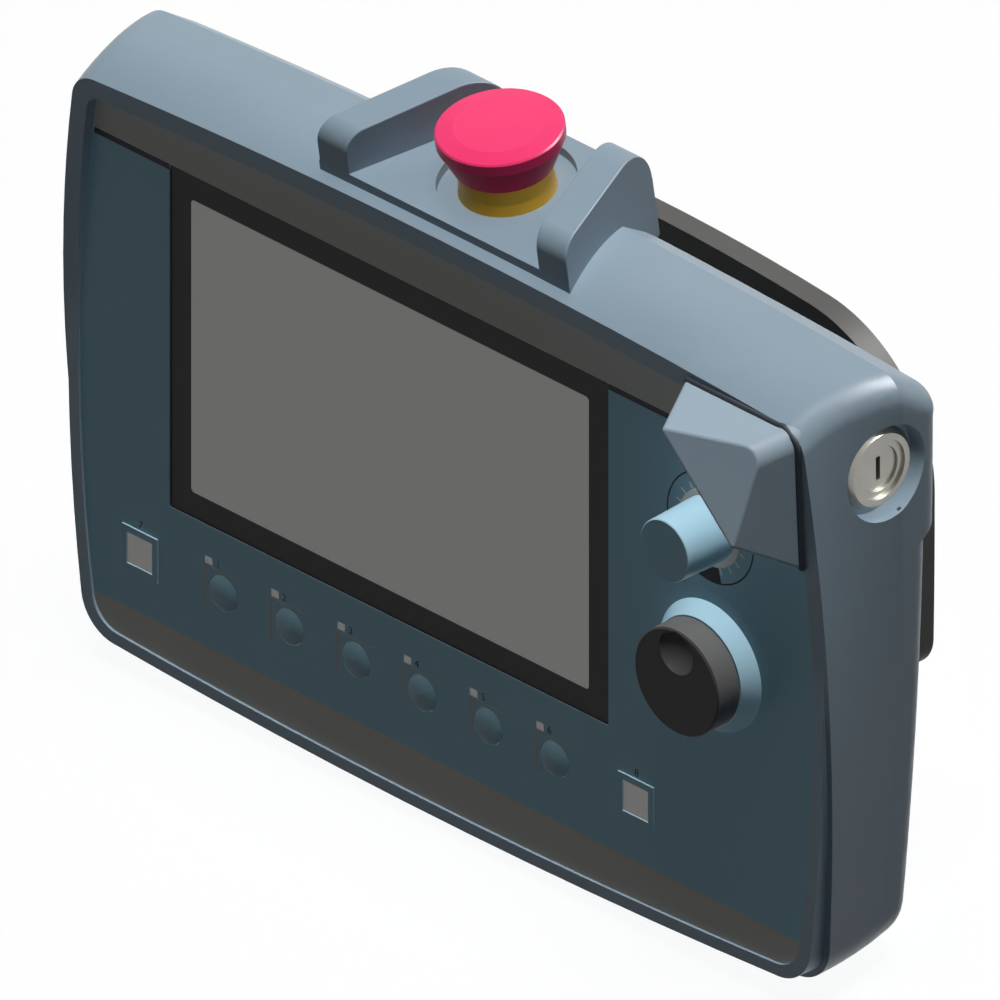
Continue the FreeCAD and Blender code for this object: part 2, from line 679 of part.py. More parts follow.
def overlay_band(low, high):
    """A stretch of the printed face between two heights."""
    sheet = overlay_plate(0, OVERLAY_THICKNESS)
    return sheet.common(box(-2 * HALF_WIDTH, 2 * HALF_WIDTH, -1, 1, low, high)).cut(overlay_cuts())


def bezel_plate(front):
    return round_box(BEZEL_HALF_WIDTH, BEZEL_HALF_HEIGHT, BEZEL_CORNER, SCREEN_X, SCREEN_Z, front, GLASS_BACK)


def make_display_bezel():
    return bezel_plate(GLASS_SINK).cut(make_screen())


def make_screen():
    return round_box(SCREEN_WIDTH / 2, SCREEN_HEIGHT / 2, SCREEN_CORNER, SCREEN_X, SCREEN_Z,
                     GLASS_SINK, GLASS_BACK)


def make_lcd_module():
    half_width = SCREEN_WIDTH / 2 + LCD_MARGIN
    half_height = SCREEN_HEIGHT / 2 + LCD_MARGIN
    return round_box(half_width, half_height, LCD_CORNER, SCREEN_X, SCREEN_Z,
                     WALL_BACK, WALL_BACK + LCD_DEPTH)


def make_main_board():
    board = round_box(BOARD_HALF_WIDTH, BOARD_HALF_HEIGHT, BOARD_POST_INSET, SCREEN_X, SCREEN_Z,
                      BOARD_Y, BOARD_Y + BOARD_THICKNESS)
    return board.cut([rod_y(BOARD_SCREW_RADIUS, x, z, BOARD_Y - 1, BOARD_Y + PAST) for x, z in board_posts()])


def make_board_screws():
    places = [(x, z, BOARD_Y + BOARD_THICKNESS) for x, z in board_posts()]
    places += [(x, z, KEY_BOARD_Y + BOARD_THICKNESS) for x, z in key_board_posts()]
    return Part.Compound([socket_screw(BOARD_SCREW_RADIUS, BOARD_SCREW_HEAD, BOARD_SCREW_HEAD_HEIGHT, x, z,
                                       seat, seat - BOARD_SCREW_LENGTH) for x, z, seat in places])


def make_key_board():
    left, right = key_board_span()
    board = round_box((right - left) / 2, KEY_BOARD_HEIGHT / 2, KEY_BOARD_CORNER, (left + right) / 2, KEY_Z,
                      KEY_BOARD_Y, KEY_BOARD_Y + BOARD_THICKNESS)
    return board.cut([rod_y(BOARD_SCREW_RADIUS, x, z, KEY_BOARD_Y - 1, KEY_BOARD_Y + PAST)
                      for x, z in key_board_posts()])


def make_key_switches():
    return Part.Compound([key_square(x, SWITCH_SIDE, SWITCH_FRONT, KEY_BOARD_Y)
                          for x in KEY_PLACES + list(LAMP_KEY_X)])


def make_function_key(x):
    """A domed round key with the flange that keeps it behind the wall."""
    sphere = (KEY_RADIUS ** 2 + KEY_DOME ** 2) / (2 * KEY_DOME)
    dome = Part.makeSphere(sphere, V(x, sphere - KEY_DOME, KEY_Z))
    stud = rod_y(KEY_RADIUS, x, KEY_Z, -1, KEY_BACK).common(dome)
    tip = rod_y(KEY_TIP_RADIUS, x, KEY_Z, -KEY_DOME - KEY_TIP, 0)
    flange = rod_y(KEY_RADIUS + KEY_FLANGE, x, KEY_Z, KEY_BACK, KEY_FLANGE_BACK)
    return fused(stud, tip, flange, rod_y(NUB_RADIUS, x, KEY_Z, KEY_FLANGE_BACK, NUB_END))


def make_lamp_key(x):
    """A square lamp key with its flange and the nub that presses the switch."""
    cap = key_square(x, LAMP_KEY_SIDE, -LAMP_KEY_PROUD, KEY_BACK)
    flange = key_square(x, LAMP_KEY_SIDE + 2 * KEY_FLANGE, KEY_BACK, KEY_FLANGE_BACK)
    return fused(cap, flange, rod_y(NUB_RADIUS, x, KEY_Z, KEY_FLANGE_BACK, NUB_END))


def make_key_frames():
    opening = LAMP_KEY_SIDE + 2 * KEY_CLEARANCE
    return Part.Compound([key_square(x, FRAME_SIDE, -FRAME_PROUD, OVERLAY_THICKNESS)
                         .cut(key_square(x, opening, -1, 1)) for x in LAMP_KEY_X])


def wing_x(y, inward):
    """Outer or inner face of a shroud wing, which lean in towards the rear."""
    return SHROUD_HALF_WIDTH - inward - (y - SHROUD_FRONT) * math.tan(SHROUD_TAPER)


def plan_block(points, low, high):
    corners = [V(x, y, low) for x, y in points]
    return Part.Face(Part.makePolygon(corners + corners[:1])).extrude(V(0, 0, high - low))


def crest_edge(block, y):
    """The upper edge across a block that lies nearest to y."""
    across = [e for e in block.Edges if abs(e.tangentAt(e.FirstParameter).x) > 0.9 and e.CenterOfMass.z > 0]
    return min(across, key=lambda e: abs(e.CenterOfMass.y - y))


def wing_profile():
    """Side view of a wing as a block across the housing: the top rises to the rear, both ends are round."""
    top = RECESS_DEPTH + WING_HEIGHT
    block = prism_x([(SHROUD_FRONT, SHROUD_UNDER), (SHROUD_FRONT, top), (SHROUD_REAR, top + WING_RISE),
                     (SHROUD_REAR, SHROUD_UNDER)], -2 * HALF_WIDTH, 2 * HALF_WIDTH)
    block = block.makeFillet(WING_FRONT_ROUND, [crest_edge(block, SHROUD_FRONT)])
    return block.makeFillet(WING_REAR_ROUND, [crest_edge(block, SHROUD_REAR)])


def make_estop_guard(shells):
    """The shroud on the top edge: sloping platform, two wings, and the well that holds the stop."""
    ends = (SHROUD_FRONT, SHROUD_REAR)
    left = [(-wing_x(y, 0), y) for y in ends]
    right = [(wing_x(y, 0), y) for y in ends]
    platform = plan_block(left + right[::-1], SHROUD_UNDER, RECESS_DEPTH)
    profile = wing_profile()
    wings = []
    for side in (-1, 1):
        outer = [(side * wing_x(y, 0), y) for y in ends]
        inner = [(side * wing_x(y, WING_THICKNESS), y) for y in ends]
        high = RECESS_DEPTH + WING_HEIGHT + WING_RISE
        wing = plan_block(outer + inner[::-1], SHROUD_UNDER, high).common(profile)
        crest = [e for e in wing.Edges if e.CenterOfMass.z > RECESS_DEPTH + WING_HEIGHT / 3]
        along = [e for e in crest if abs(e.tangentAt(e.FirstParameter).x) < 0.9]
        wings.append(wing.makeFillet(SHROUD_EDGE, along))
    under_well = Part.makeCylinder(RECESS_RADIUS + WELL_WALL, PAST, V(0, 0, -WELL_FLOOR - PAST))
    body = tilted(fused(platform, *wings).cut(under_well)).cut(shells)
    body = max(body.Solids, key=lambda solid: solid.Volume)
    well = Part.makeCylinder(RECESS_RADIUS + WELL_WALL, WELL_FLOOR + RECESS_DEPTH, V(0, 0, -WELL_FLOOR))
    recess = Part.makeCylinder(RECESS_RADIUS, PAST)
    hole = Part.makeCylinder(COLLAR_NECK_RADIUS, PAST, V(0, 0, -PAST / 2))
    return fused(body, tilted(well)).cut([tilted(recess), tilted(hole)])


def make_estop_collar():
    """Yellow collar: flared foot on the well's floor and a neck through it."""
    bore = STEM_RADIUS + RUNNING_CLEARANCE
    return tilted(turned([(bore, -WELL_FLOOR), (COLLAR_NECK_RADIUS, -WELL_FLOOR), (COLLAR_NECK_RADIUS, 0),
                          (COLLAR_FOOT_RADIUS, 0), (COLLAR_RADIUS, COLLAR_FOOT),
                          (COLLAR_RADIUS, COLLAR_HEIGHT), (bore, COLLAR_HEIGHT)]))


def make_estop_cap():
    """Red mushroom head: cone, short upright band, shallow top that steps off to a flat disc."""
    bore = COLLAR_RADIUS + CAP_BORE_CLEARANCE
    band_top = CAP_BAND_Z + CAP_BAND
    return tilted(turned([(0, CAP_ROOF), (bore, CAP_ROOF), (bore, CAP_LIP_Z), (CAP_LIP_RADIUS, CAP_LIP_Z),
                          (CAP_RADIUS, CAP_BAND_Z), (CAP_RADIUS, band_top),
                          (CAP_RADIUS - CAP_EDGE, band_top + CAP_EDGE),
                          (CAP_RING_RADIUS, CAP_HEIGHT - CAP_RING_DROP), (CAP_DISC_RADIUS, CAP_HEIGHT),
                          (0, CAP_HEIGHT)]))


def make_estop_stem():
    return tilted(Part.makeCylinder(STEM_RADIUS, CAP_ROOF + STEM_REACH, V(0, 0, -STEM_REACH)))


def make_estop_contact_block():
    half = CONTACT_SIDE / 2
    corner = V(-half, -half, -WELL_FLOOR - CONTACT_DEPTH)
    block = Part.makeBox(CONTACT_SIDE, CONTACT_SIDE, CONTACT_DEPTH, corner)
    upright = [e for e in block.Edges if abs(e.tangentAt(e.FirstParameter).z) > 0.9]
    block = block.makeFillet(CONTACT_CORNER, upright)
    socket_depth = STEM_REACH + STOP_TRAVEL + 1
    socket = Part.makeCylinder(STEM_RADIUS + RUNNING_CLEARANCE, socket_depth, V(0, 0, -socket_depth))
    return tilted(block.cut(socket))


def guard_planes():
    """Height of the guard's top wall and place of its side wall, counted from the housing's edges."""
    return top_z(RIM_TOP_Y) - GUARD_TOP_GAP, HALF_WIDTH - GUARD_SIDE_GAP


def make_corner_guard(front_shell):
    """The faceted shield over the top right corner: two tapered walls cut by a facet and a diagonal."""
    top, side = guard_planes()
    left = side - GUARD_ALONG_TOP
    low = top - GUARD_ALONG_SIDE
    reach = GUARD_REACH + OVERLAY_THICKNESS
    drop = reach * math.tan(GUARD_TOP_TAPER)
    draw = reach * math.tan(GUARD_SIDE_TAPER)

    def frame(y, shrink_x, shrink_z):
        corners = [V(left - PAST, y, low - PAST), V(side - shrink_x, y, low - PAST),
                   V(side - shrink_x, y, top - shrink_z), V(left - PAST, y, top - shrink_z)]
        return Part.makePolygon(corners + corners[:1])

    block = Part.makeLoft([frame(0, 0, 0), frame(-reach, draw, drop)], True, True)
    ridge = [e for e in block.Edges if e.CenterOfMass.x > side - draw and e.CenterOfMass.z > top - drop]
    block = block.makeFillet(GUARD_CORNER, ridge)
    front_left = V(left + GUARD_CUT_TOP, -GUARD_REACH, top - drop)
    front_low = V(side - draw, -GUARD_REACH, low + GUARD_CUT_SIDE)
    diagonal = slab(V(left, 0, top), front_left, V(side, 0, low), V(-1, 0, -1))
    facet_corner = V(side - draw, -GUARD_REACH + GUARD_FACET_BACK, top - drop)
    facet = slab(front_left, front_low, facet_corner, V(0, -1, 0))
    body = block.cut([diagonal, facet])
    body = max(body.Solids, key=lambda solid: solid.Volume)
    outer = [e for e in body.Edges if e.CenterOfMass.y < -GUARD_EDGE]
    return body.makeFillet(GUARD_EDGE, outer).cut(front_shell)


def slab(a, b, c, towards):
    """A large block on one side of the plane through three points, on the side that towards points to."""
    normal = (b - a).cross(c - a).normalize()
    if normal.dot(towards) < 0:
        normal = normal * -1
    size = 10 * PAST
    plane = Part.makePlane(size, size, V(0, 0, 0))
    plane.translate(V(-size / 2, -size / 2, 0))
    plane.Placement = FreeCAD.Placement(a, FreeCAD.Rotation(V(0, 0, 1), normal)).multiply(plane.Placement)
    return plane.extrude(normal * size)


def make_override_collar():
    return turned_front([(SHAFT_RADIUS + KNOB_GAP, 0), (OVERRIDE_COLLAR_RADIUS, 0),
                         (OVERRIDE_COLLAR_RADIUS, OVERRIDE_COLLAR_HEIGHT),
                         (SHAFT_RADIUS + KNOB_GAP, OVERRIDE_COLLAR_HEIGHT)], KNOB_X, OVERRIDE_Z)


def make_override_knob():
    foot = OVERRIDE_COLLAR_HEIGHT + KNOB_GAP
    rim = OVERRIDE_TIP_RADIUS - OVERRIDE_EDGE
    return turned_front([(SHAFT_RADIUS, foot), (OVERRIDE_BASE_RADIUS, foot),
                         (OVERRIDE_TIP_RADIUS, OVERRIDE_HEIGHT - OVERRIDE_EDGE), (rim, OVERRIDE_HEIGHT),
                         (0, OVERRIDE_HEIGHT), (0, foot + SHAFT_GRIP), (SHAFT_RADIUS, foot + SHAFT_GRIP)],
                        KNOB_X, OVERRIDE_Z)


def make_override_shaft():
    tip = OVERRIDE_COLLAR_HEIGHT + KNOB_GAP + SHAFT_GRIP
    return rod_y(SHAFT_RADIUS, KNOB_X, OVERRIDE_Z, -tip, WALL_BACK + POT_DEPTH / 2)


def make_override_potentiometer():
    bush = rod_y(BUSH_RADIUS, KNOB_X, OVERRIDE_Z, 0, WALL_BACK)
    body = rod_y(POT_RADIUS, KNOB_X, OVERRIDE_Z, WALL_BACK, WALL_BACK + POT_DEPTH)
    bore = rod_y(SHAFT_RADIUS + RUNNING_CLEARANCE, KNOB_X, OVERRIDE_Z, -1,
                 WALL_BACK + POT_DEPTH / 2 + KNOB_GAP)
    return fused(bush, body).cut(bore)


def make_handwheel_base():
    bore = SHAFT_RADIUS + KNOB_GAP
    return turned_front([(bore, 0), (WHEEL_BASE_RADIUS, 0), (WHEEL_BASE_TIP_RADIUS, WHEEL_BASE_HEIGHT),
                         (bore, WHEEL_BASE_HEIGHT)], KNOB_X, WHEEL_Z)


def make_handwheel_disc():
    """Black disc with the finger dimple near its rim."""
    foot = WHEEL_BASE_HEIGHT + KNOB_GAP
    grip = foot + SHAFT_GRIP / 2
    disc = turned_front([(SHAFT_RADIUS, foot), (WHEEL_RADIUS, foot), (WHEEL_RADIUS, WHEEL_FRONT - WHEEL_EDGE),
                         (WHEEL_RADIUS - WHEEL_EDGE, WHEEL_FRONT), (0, WHEEL_FRONT), (0, grip),
                         (SHAFT_RADIUS, grip)],
                        KNOB_X, WHEEL_Z)
    ball = (DIMPLE_RADIUS ** 2 + DIMPLE_DEPTH ** 2) / (2 * DIMPLE_DEPTH)
    middle = V(KNOB_X, -WHEEL_FRONT + DIMPLE_DEPTH - ball, WHEEL_Z + DIMPLE_ABOVE)
    return disc.cut(Part.makeSphere(ball, middle))


def make_handwheel_shaft():
    tip = WHEEL_BASE_HEIGHT + KNOB_GAP + SHAFT_GRIP / 2
    return rod_y(SHAFT_RADIUS, KNOB_X, WHEEL_Z, -tip, WALL_BACK + ENCODER_DEPTH / 2)


def make_handwheel_encoder():
    half = ENCODER_SIDE / 2
    body = round_box(half, half, ENCODER_CORNER, KNOB_X, WHEEL_Z, WALL_BACK, WALL_BACK + ENCODER_DEPTH)
    bush = rod_y(BUSH_RADIUS, KNOB_X, WHEEL_Z, 0, WALL_BACK)
    bore = rod_y(SHAFT_RADIUS + RUNNING_CLEARANCE, KNOB_X, WHEEL_Z, -1,
                 WALL_BACK + ENCODER_DEPTH / 2 + KNOB_GAP)
    return fused(bush, body).cut(bore)


def make_lock_bezel():
    """Bright ring in the pocket, with a dished face and the barrel that passes the wall."""
    bore = LOCK_CORE_RADIUS + RUNNING_CLEARANCE
    dish = LOCK_FACE - LOCK_DISH
    return turned_side([(bore, -LOCK_BARREL_LENGTH), (LOCK_BARREL_RADIUS, -LOCK_BARREL_LENGTH),
                        (LOCK_BARREL_RADIUS, 0), (LOCK_RADIUS, 0), (LOCK_RADIUS, LOCK_FACE - LOCK_BEVEL),
                        (LOCK_RADIUS - LOCK_BEVEL, LOCK_FACE), (LOCK_DISH_RADIUS, LOCK_FACE),
                        (LOCK_DISH_RADIUS, dish), (bore, dish)])


def make_lock_core():
    face = LOCK_FACE_X - LOCK_DISH - LOCK_CORE_SINK
    core = rod_x(LOCK_CORE_RADIUS, LOCK_Y, LOCK_Z, LOCK_FLOOR_X - LOCK_BARREL_LENGTH, face)
    keyway = box(face - KEYWAY_DEPTH, face + 1, LOCK_Y - KEYWAY_WIDTH / 2, LOCK_Y + KEYWAY_WIDTH / 2,
                 LOCK_Z - KEYWAY_HEIGHT / 2, LOCK_Z + KEYWAY_HEIGHT / 2)
    return core.cut(keyway)


def make_lock_nut():
    nut = hexagon(LOCK_NUT_SIDE, LOCK_NUT_THICKNESS)
    nut = nut.cut(Part.makeCylinder(LOCK_BARREL_RADIUS, LOCK_NUT_THICKNESS))
    nut.rotate(V(0, 0, 0), V(0, 1, 0), 90)
    nut.translate(V(LOCK_FLOOR_X - LOCK_BOSS_WALL - LOCK_NUT_THICKNESS, LOCK_Y, LOCK_Z))
    return nut


def make_lock_switch():
    half = LOCK_SWITCH_SIDE / 2
    front = LOCK_FLOOR_X - LOCK_BARREL_LENGTH
    return box(front - LOCK_SWITCH_LENGTH, front, LOCK_Y - half, LOCK_Y + half, LOCK_Z - half, LOCK_Z + half)


def grip_section(y, inset=0.0):
    bows = (GRIP_LOW_BOW, GRIP_TOP_BOW, GRIP_SIDE_BOW)
    return outline(y, GRIP_HALF_WIDTH - inset, (GRIP_LOW + GRIP_TOP) / 2, GRIP_LOW + inset, GRIP_TOP - inset,
                   bows, (GRIP_LOW_CORNER, GRIP_TOP_CORNER))


def paddle_plate(side, grow, y0, y1):
    return round_box(PADDLE_WIDTH / 2 + grow, PADDLE_HEIGHT / 2 + grow, PADDLE_CORNER,
                     side * PADDLE_X, PADDLE_Z, y0, y1)


def make_grip_plate():
    """Palm grip: upright edge all round, crowned back, pockets for the paddles and a seat for the pad."""
    edge = Part.Face(grip_section(GRIP_Y)).extrude(V(0, GRIP_EDGE, 0))
    shoulder = GRIP_Y + GRIP_EDGE
    middle = grip_section((shoulder + GRIP_REAR) / 2, GRIP_CROWN_INSET * GRIP_CROWN_SHARE)
    sections = [grip_section(shoulder), middle, grip_section(GRIP_REAR, GRIP_CROWN_INSET)]
    crown = Part.makeLoft(sections, True, False)
    plate = fused(edge, crown)
    cuts = [Part.Face(grip_section(GRIP_REAR - PAD_SEAT, PAD_INSET)).extrude(V(0, PAST, 0))]
    cuts += [paddle_plate(side, PADDLE_CLEARANCE, GRIP_Y - 1, PADDLE_FLOOR) for side in (-1, 1)]
    for x, z in grip_screw_places():
        cuts.append(rod_y(GRIP_SCREW_RADIUS + SCREW_CLEARANCE, x, z, GRIP_Y - 1, GRIP_REAR))
        cuts.append(rod_y(GRIP_SCREW_HEAD_RADIUS + SCREW_CLEARANCE, x, z, grip_screw_seat(), GRIP_REAR))
    return plate.cut(cuts)


def grip_screw_seat():
    return GRIP_REAR - PAD_SEAT - GRIP_SCREW_HEAD_HEIGHT


def make_grip_pad():
    return Part.Face(grip_section(GRIP_REAR - PAD_SEAT, PAD_INSET)).extrude(V(0, PAD_SEAT + PAD_PROUD, 0))


def make_grip_neck(rear_shell_form):
    """Hollow stem from the housing's back to the grip, with four screw bosses inside."""
    half_height = (NECK_HIGH - NECK_LOW) / 2
    outer = round_box(NECK_HALF_WIDTH, half_height, NECK_CORNER, 0, NECK_MID, SEAM_Y, GRIP_Y)
    inner = round_box(NECK_HALF_WIDTH - NECK_WALL, half_height - NECK_WALL, NECK_CORNER - NECK_WALL, 0, NECK_MID,
                      SEAM_Y - 1, GRIP_Y + 1)
    bosses = [rod_y(GRIP_BOSS_RADIUS, x, z, SEAM_Y, GRIP_Y) for x, z in grip_screw_places()]
    stem = fused(outer.cut(inner), *bosses).cut(rear_shell_form)
    bite = GRIP_Y - GRIP_SCREW_BITE
    cuts = [rod_y(GRIP_SCREW_RADIUS, x, z, bite, GRIP_Y + 1) for x, z in grip_screw_places()]
    cuts.append(rod_z(GLAND_THREAD_RADIUS, 0, GLAND_Y, NECK_LOW - 1, NECK_LOW + NECK_WALL + 1))
    return stem.cut(cuts)


def make_grip_screws():
    seat = grip_screw_seat()
    return Part.Compound([socket_screw(GRIP_SCREW_RADIUS, GRIP_SCREW_HEAD_RADIUS, GRIP_SCREW_HEAD_HEIGHT, x, z,
                                       seat, GRIP_Y - GRIP_SCREW_BITE) for x, z in grip_screw_places()])


def make_enabling_paddle(side):
    paddle = paddle_plate(side, 0, PADDLE_FRONT, PADDLE_BACK)
    front = [e for e in paddle.Edges if abs(e.CenterOfMass.y - PADDLE_FRONT) < 0.01]
    return paddle.makeFillet(PADDLE_THICKNESS / 3, front)


def make_enabling_switches():
    half = PADDLE_SWITCH_WIDTH / 2
    rise = PADDLE_SWITCH_HEIGHT / 2
    return Part.Compound([box(side * PADDLE_X - half, side * PADDLE_X + half, PADDLE_SWITCH_Y, PADDLE_FLOOR,
                              PADDLE_Z - rise, PADDLE_Z + rise) for side in (-1, 1)])


def make_cable_gland():
    """Gland under the neck: hexagon against the wall, domed nut below it, thread through the wall."""
    thread = rod_z(GLAND_THREAD_RADIUS, 0, GLAND_Y, NECK_LOW, NECK_LOW + NECK_WALL + GLAND_NUT_HEIGHT)
    flange = hexagon(GLAND_HEX, GLAND_HEX_HEIGHT)
    flange.translate(V(0, GLAND_Y, NECK_LOW - GLAND_HEX_HEIGHT))
    dome = turned([(0, 0), (GLAND_DOME_RADIUS * 0.75, 0), (GLAND_DOME_RADIUS, GLAND_DOME_HEIGHT / 3),
                   (GLAND_DOME_RADIUS, GLAND_DOME_HEIGHT), (0, GLAND_DOME_HEIGHT)])
    dome.translate(V(0, GLAND_Y, NECK_LOW - GLAND_HEX_HEIGHT - GLAND_DOME_HEIGHT))
    bore = rod_z(GLAND_BORE_RADIUS, 0, GLAND_Y, NECK_LOW - PAST, NECK_LOW + PAST)
    return fused(thread, flange, dome).cut(bore)


def make_gland_nut():
    nut = hexagon(GLAND_HEX, GLAND_NUT_HEIGHT)
    nut = nut.cut(Part.makeCylinder(GLAND_THREAD_RADIUS, GLAND_NUT_HEIGHT))
    nut.translate(V(0, GLAND_Y, NECK_LOW + NECK_WALL))
    return nut


def make_pieces():
    front_shell = make_front_shell()
    rear = rear_form()
    pieces = {
        "front_shell": front_shell,
        "rear_shell": make_rear_shell(),
        "housing_seal": make_housing_seal(),
        "shell_screws": make_shell_screws(),
        "header_strip": overlay_band(KEYPAD_TOP, CROWN_Z),
        "keypad_overlay": overlay_band(FOOTER_TOP, KEYPAD_TOP),
        "footer_strip": overlay_band(0, FOOTER_TOP),
        "display_bezel": make_display_bezel(),
        "screen": make_screen(),
        "lcd_module": make_lcd_module(),
        "main_board": make_main_board(),
        "board_screws": make_board_screws(),
        "key_board": make_key_board(),
        "key_switches": make_key_switches(),
        "key_frames": make_key_frames(),
        "key_lamps": Part.Compound(lamp_blocks(0, OVERLAY_THICKNESS)),
        "illuminated_key_left": make_lamp_key(LAMP_KEY_X[0]),
        "illuminated_key_right": make_lamp_key(LAMP_KEY_X[1]),
        "estop_guard": make_estop_guard([front_form(), rear]),
        "estop_collar": make_estop_collar(),
        "estop_stem": make_estop_stem(),
        "estop_cap": make_estop_cap(),
        "estop_contact_block": make_estop_contact_block(),
        "corner_guard": make_corner_guard(front_shell),
        "override_collar": make_override_collar(),
        "override_knob": make_override_knob(),
        "override_shaft": make_override_shaft(),
        "override_potentiometer": make_override_potentiometer(),
        "handwheel_base": make_handwheel_base(),
        "handwheel_disc": make_handwheel_disc(),
        "handwheel_shaft": make_handwheel_shaft(),
        "handwheel_encoder": make_handwheel_encoder(),
        "lock_bezel": make_lock_bezel(),
        "lock_core": make_lock_core(),
        "lock_nut": make_lock_nut(),
        "lock_switch": make_lock_switch(),
        "grip_neck": make_grip_neck(rear),
        "grip_plate": make_grip_plate(),
        "grip_pad": make_grip_pad(),
        "grip_screws": make_grip_screws(),
        "enabling_paddle_left": make_enabling_paddle(-1),
        "enabling_paddle_right": make_enabling_paddle(1),
        "enabling_switches": make_enabling_switches(),
        "cable_gland": make_cable_gland(),
        "gland_nut": make_gland_nut(),
    }
    for number, x in enumerate(KEY_PLACES, 1):
        pieces[f"function_key_{number}"] = make_function_key(x)
    return pieces


os.makedirs("parts", exist_ok=True)
for name, shape in make_pieces().items():
    shape.translate(V(0, -ORIGIN_Y, 0))
    shape.exportStep(f"parts/{name}.step")
    size = shape.BoundBox
    print(f"{name}: {len(shape.Solids)} solid, valid {shape.isValid()}, {shape.Volume / 1000:.2f} cm3, "
          f"x {size.XMin:.1f} {size.XMax:.1f}, y {size.YMin:.1f} {size.YMax:.1f}, z {size.ZMin:.1f} {size.ZMax:.1f}")
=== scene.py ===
"""Looks of the handheld operator panel: finishes, trim, printed marks, ribs, floor, light and camera."""

import json
import math

import bmesh
import bpy
from mathutils import Matrix, Vector


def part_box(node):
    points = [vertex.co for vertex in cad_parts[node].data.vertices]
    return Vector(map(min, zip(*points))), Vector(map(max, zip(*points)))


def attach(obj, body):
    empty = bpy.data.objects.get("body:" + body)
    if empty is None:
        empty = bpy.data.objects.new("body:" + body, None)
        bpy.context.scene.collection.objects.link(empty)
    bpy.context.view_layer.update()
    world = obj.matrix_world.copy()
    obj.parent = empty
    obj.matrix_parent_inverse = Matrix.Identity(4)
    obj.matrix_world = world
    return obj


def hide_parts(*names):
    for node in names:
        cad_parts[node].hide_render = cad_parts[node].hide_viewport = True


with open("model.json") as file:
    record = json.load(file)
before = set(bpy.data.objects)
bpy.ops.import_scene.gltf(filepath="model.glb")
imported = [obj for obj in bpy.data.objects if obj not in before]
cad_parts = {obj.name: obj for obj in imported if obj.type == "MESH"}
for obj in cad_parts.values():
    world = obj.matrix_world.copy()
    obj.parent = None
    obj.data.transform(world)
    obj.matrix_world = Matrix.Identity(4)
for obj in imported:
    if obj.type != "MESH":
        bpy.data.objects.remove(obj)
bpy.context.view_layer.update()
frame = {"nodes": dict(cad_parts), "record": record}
nodes = frame["nodes"]
behaviour = frame["record"]["behaviour"]
body_of = {node: body for body, members in behaviour["bodies"].items() for node in members}
joint_of = {joint["name"]: joint for joint in behaviour["joints"]}
FUNCTION_KEYS = [f"function_key_{i}" for i in range(1, 7)]
LAMP_KEYS = ["illuminated_key_left", "illuminated_key_right"]
FORWARD = Vector((0, -1, 0))
MM = 0.001


# Colours and finishes

CLOUD_SPAN = (0.3, 0.7)  # nearly all values of the cloud noise lie between these


def linear(hex_colour):
    """An sRGB hex colour as the linear RGBA that shaders take."""
    channels = [int(hex_colour[i:i + 2], 16) / 255 for i in (0, 2, 4)]
    return tuple(c / 12.92 if c <= 0.04045 else ((c + 0.055) / 1.055) ** 2.4 for c in channels) + (1.0,)


def add(tree, kind, inputs=None, **settings):
    """Adds a node to a tree, with its settings and with values or links for its inputs."""
    made = tree.nodes.new(kind)
    for name, value in settings.items():
        setattr(made, name, value)
    for name, value in (inputs or {}).items():
        if isinstance(value, bpy.types.NodeSocket):
            tree.links.new(value, made.inputs[name])
        else:
            made.inputs[name].default_value = value
    return made


def finish_of(name, colours, sheen, cloud_mm, grain_mm=0.0, grain_depth_mm=0.0, **sockets):
    """A material whose colour and roughness drift between two near values, over a fine relief.

    The drift is a cloud cloud_mm wide, the relief a grain of the given width and depth.
    """
    material = bpy.data.materials.new(name)
    material.use_nodes = True
    tree = material.node_tree
    tree.nodes.clear()
    place = add(tree, "ShaderNodeTexCoord").outputs["Object"]
    cloud = add(tree, "ShaderNodeTexNoise", {"Vector": place, "Scale": 1 / (cloud_mm * MM), "Detail": 3.0})
    colour = add(tree, "ShaderNodeMix", {"Factor": cloud.outputs["Fac"]}, data_type="RGBA")
    colour.inputs["A"].default_value = linear(colours[0])
    colour.inputs["B"].default_value = linear(colours[1])
    rough = add(tree, "ShaderNodeMapRange",
                {"Value": cloud.outputs["Fac"], "From Min": CLOUD_SPAN[0], "From Max": CLOUD_SPAN[1],
                 "To Min": sheen[0], "To Max": sheen[1]})
    shader = add(tree, "ShaderNodeBsdfPrincipled",
                 {"Base Color": colour.outputs["Result"], "Roughness": rough.outputs["Result"]})
    for socket, value in sockets.items():
        shader.inputs[socket.replace("_", " ")].default_value = value
    if grain_mm:
        grain = add(tree, "ShaderNodeTexNoise",
                    {"Vector": place, "Scale": 1 / (grain_mm * MM), "Detail": 2.0})
        relief = add(tree, "ShaderNodeBump",
                     {"Height": grain.outputs["Fac"], "Distance": grain_depth_mm * MM, "Strength": 1.0})
        tree.links.new(relief.outputs["Normal"], shader.inputs["Normal"])
    out = add(tree, "ShaderNodeOutputMaterial")
    tree.links.new(shader.outputs["BSDF"], out.inputs["Surface"])
    return material


# PC and ABS blend, moulded with a fine spark-eroded grain: even blue-grey with a soft, wide sheen.
# The grain is drawn at 0.6 mm, coarser than the real one, so that it shows at all.
moulded_blue_grey = finish_of("moulded_pc_abs_blue_grey", ("8a9dab", "93a6b4"), (0.36, 0.44), 35,
                              0.6, 0.008, IOR=1.52, Specular_IOR_Level=0.12)

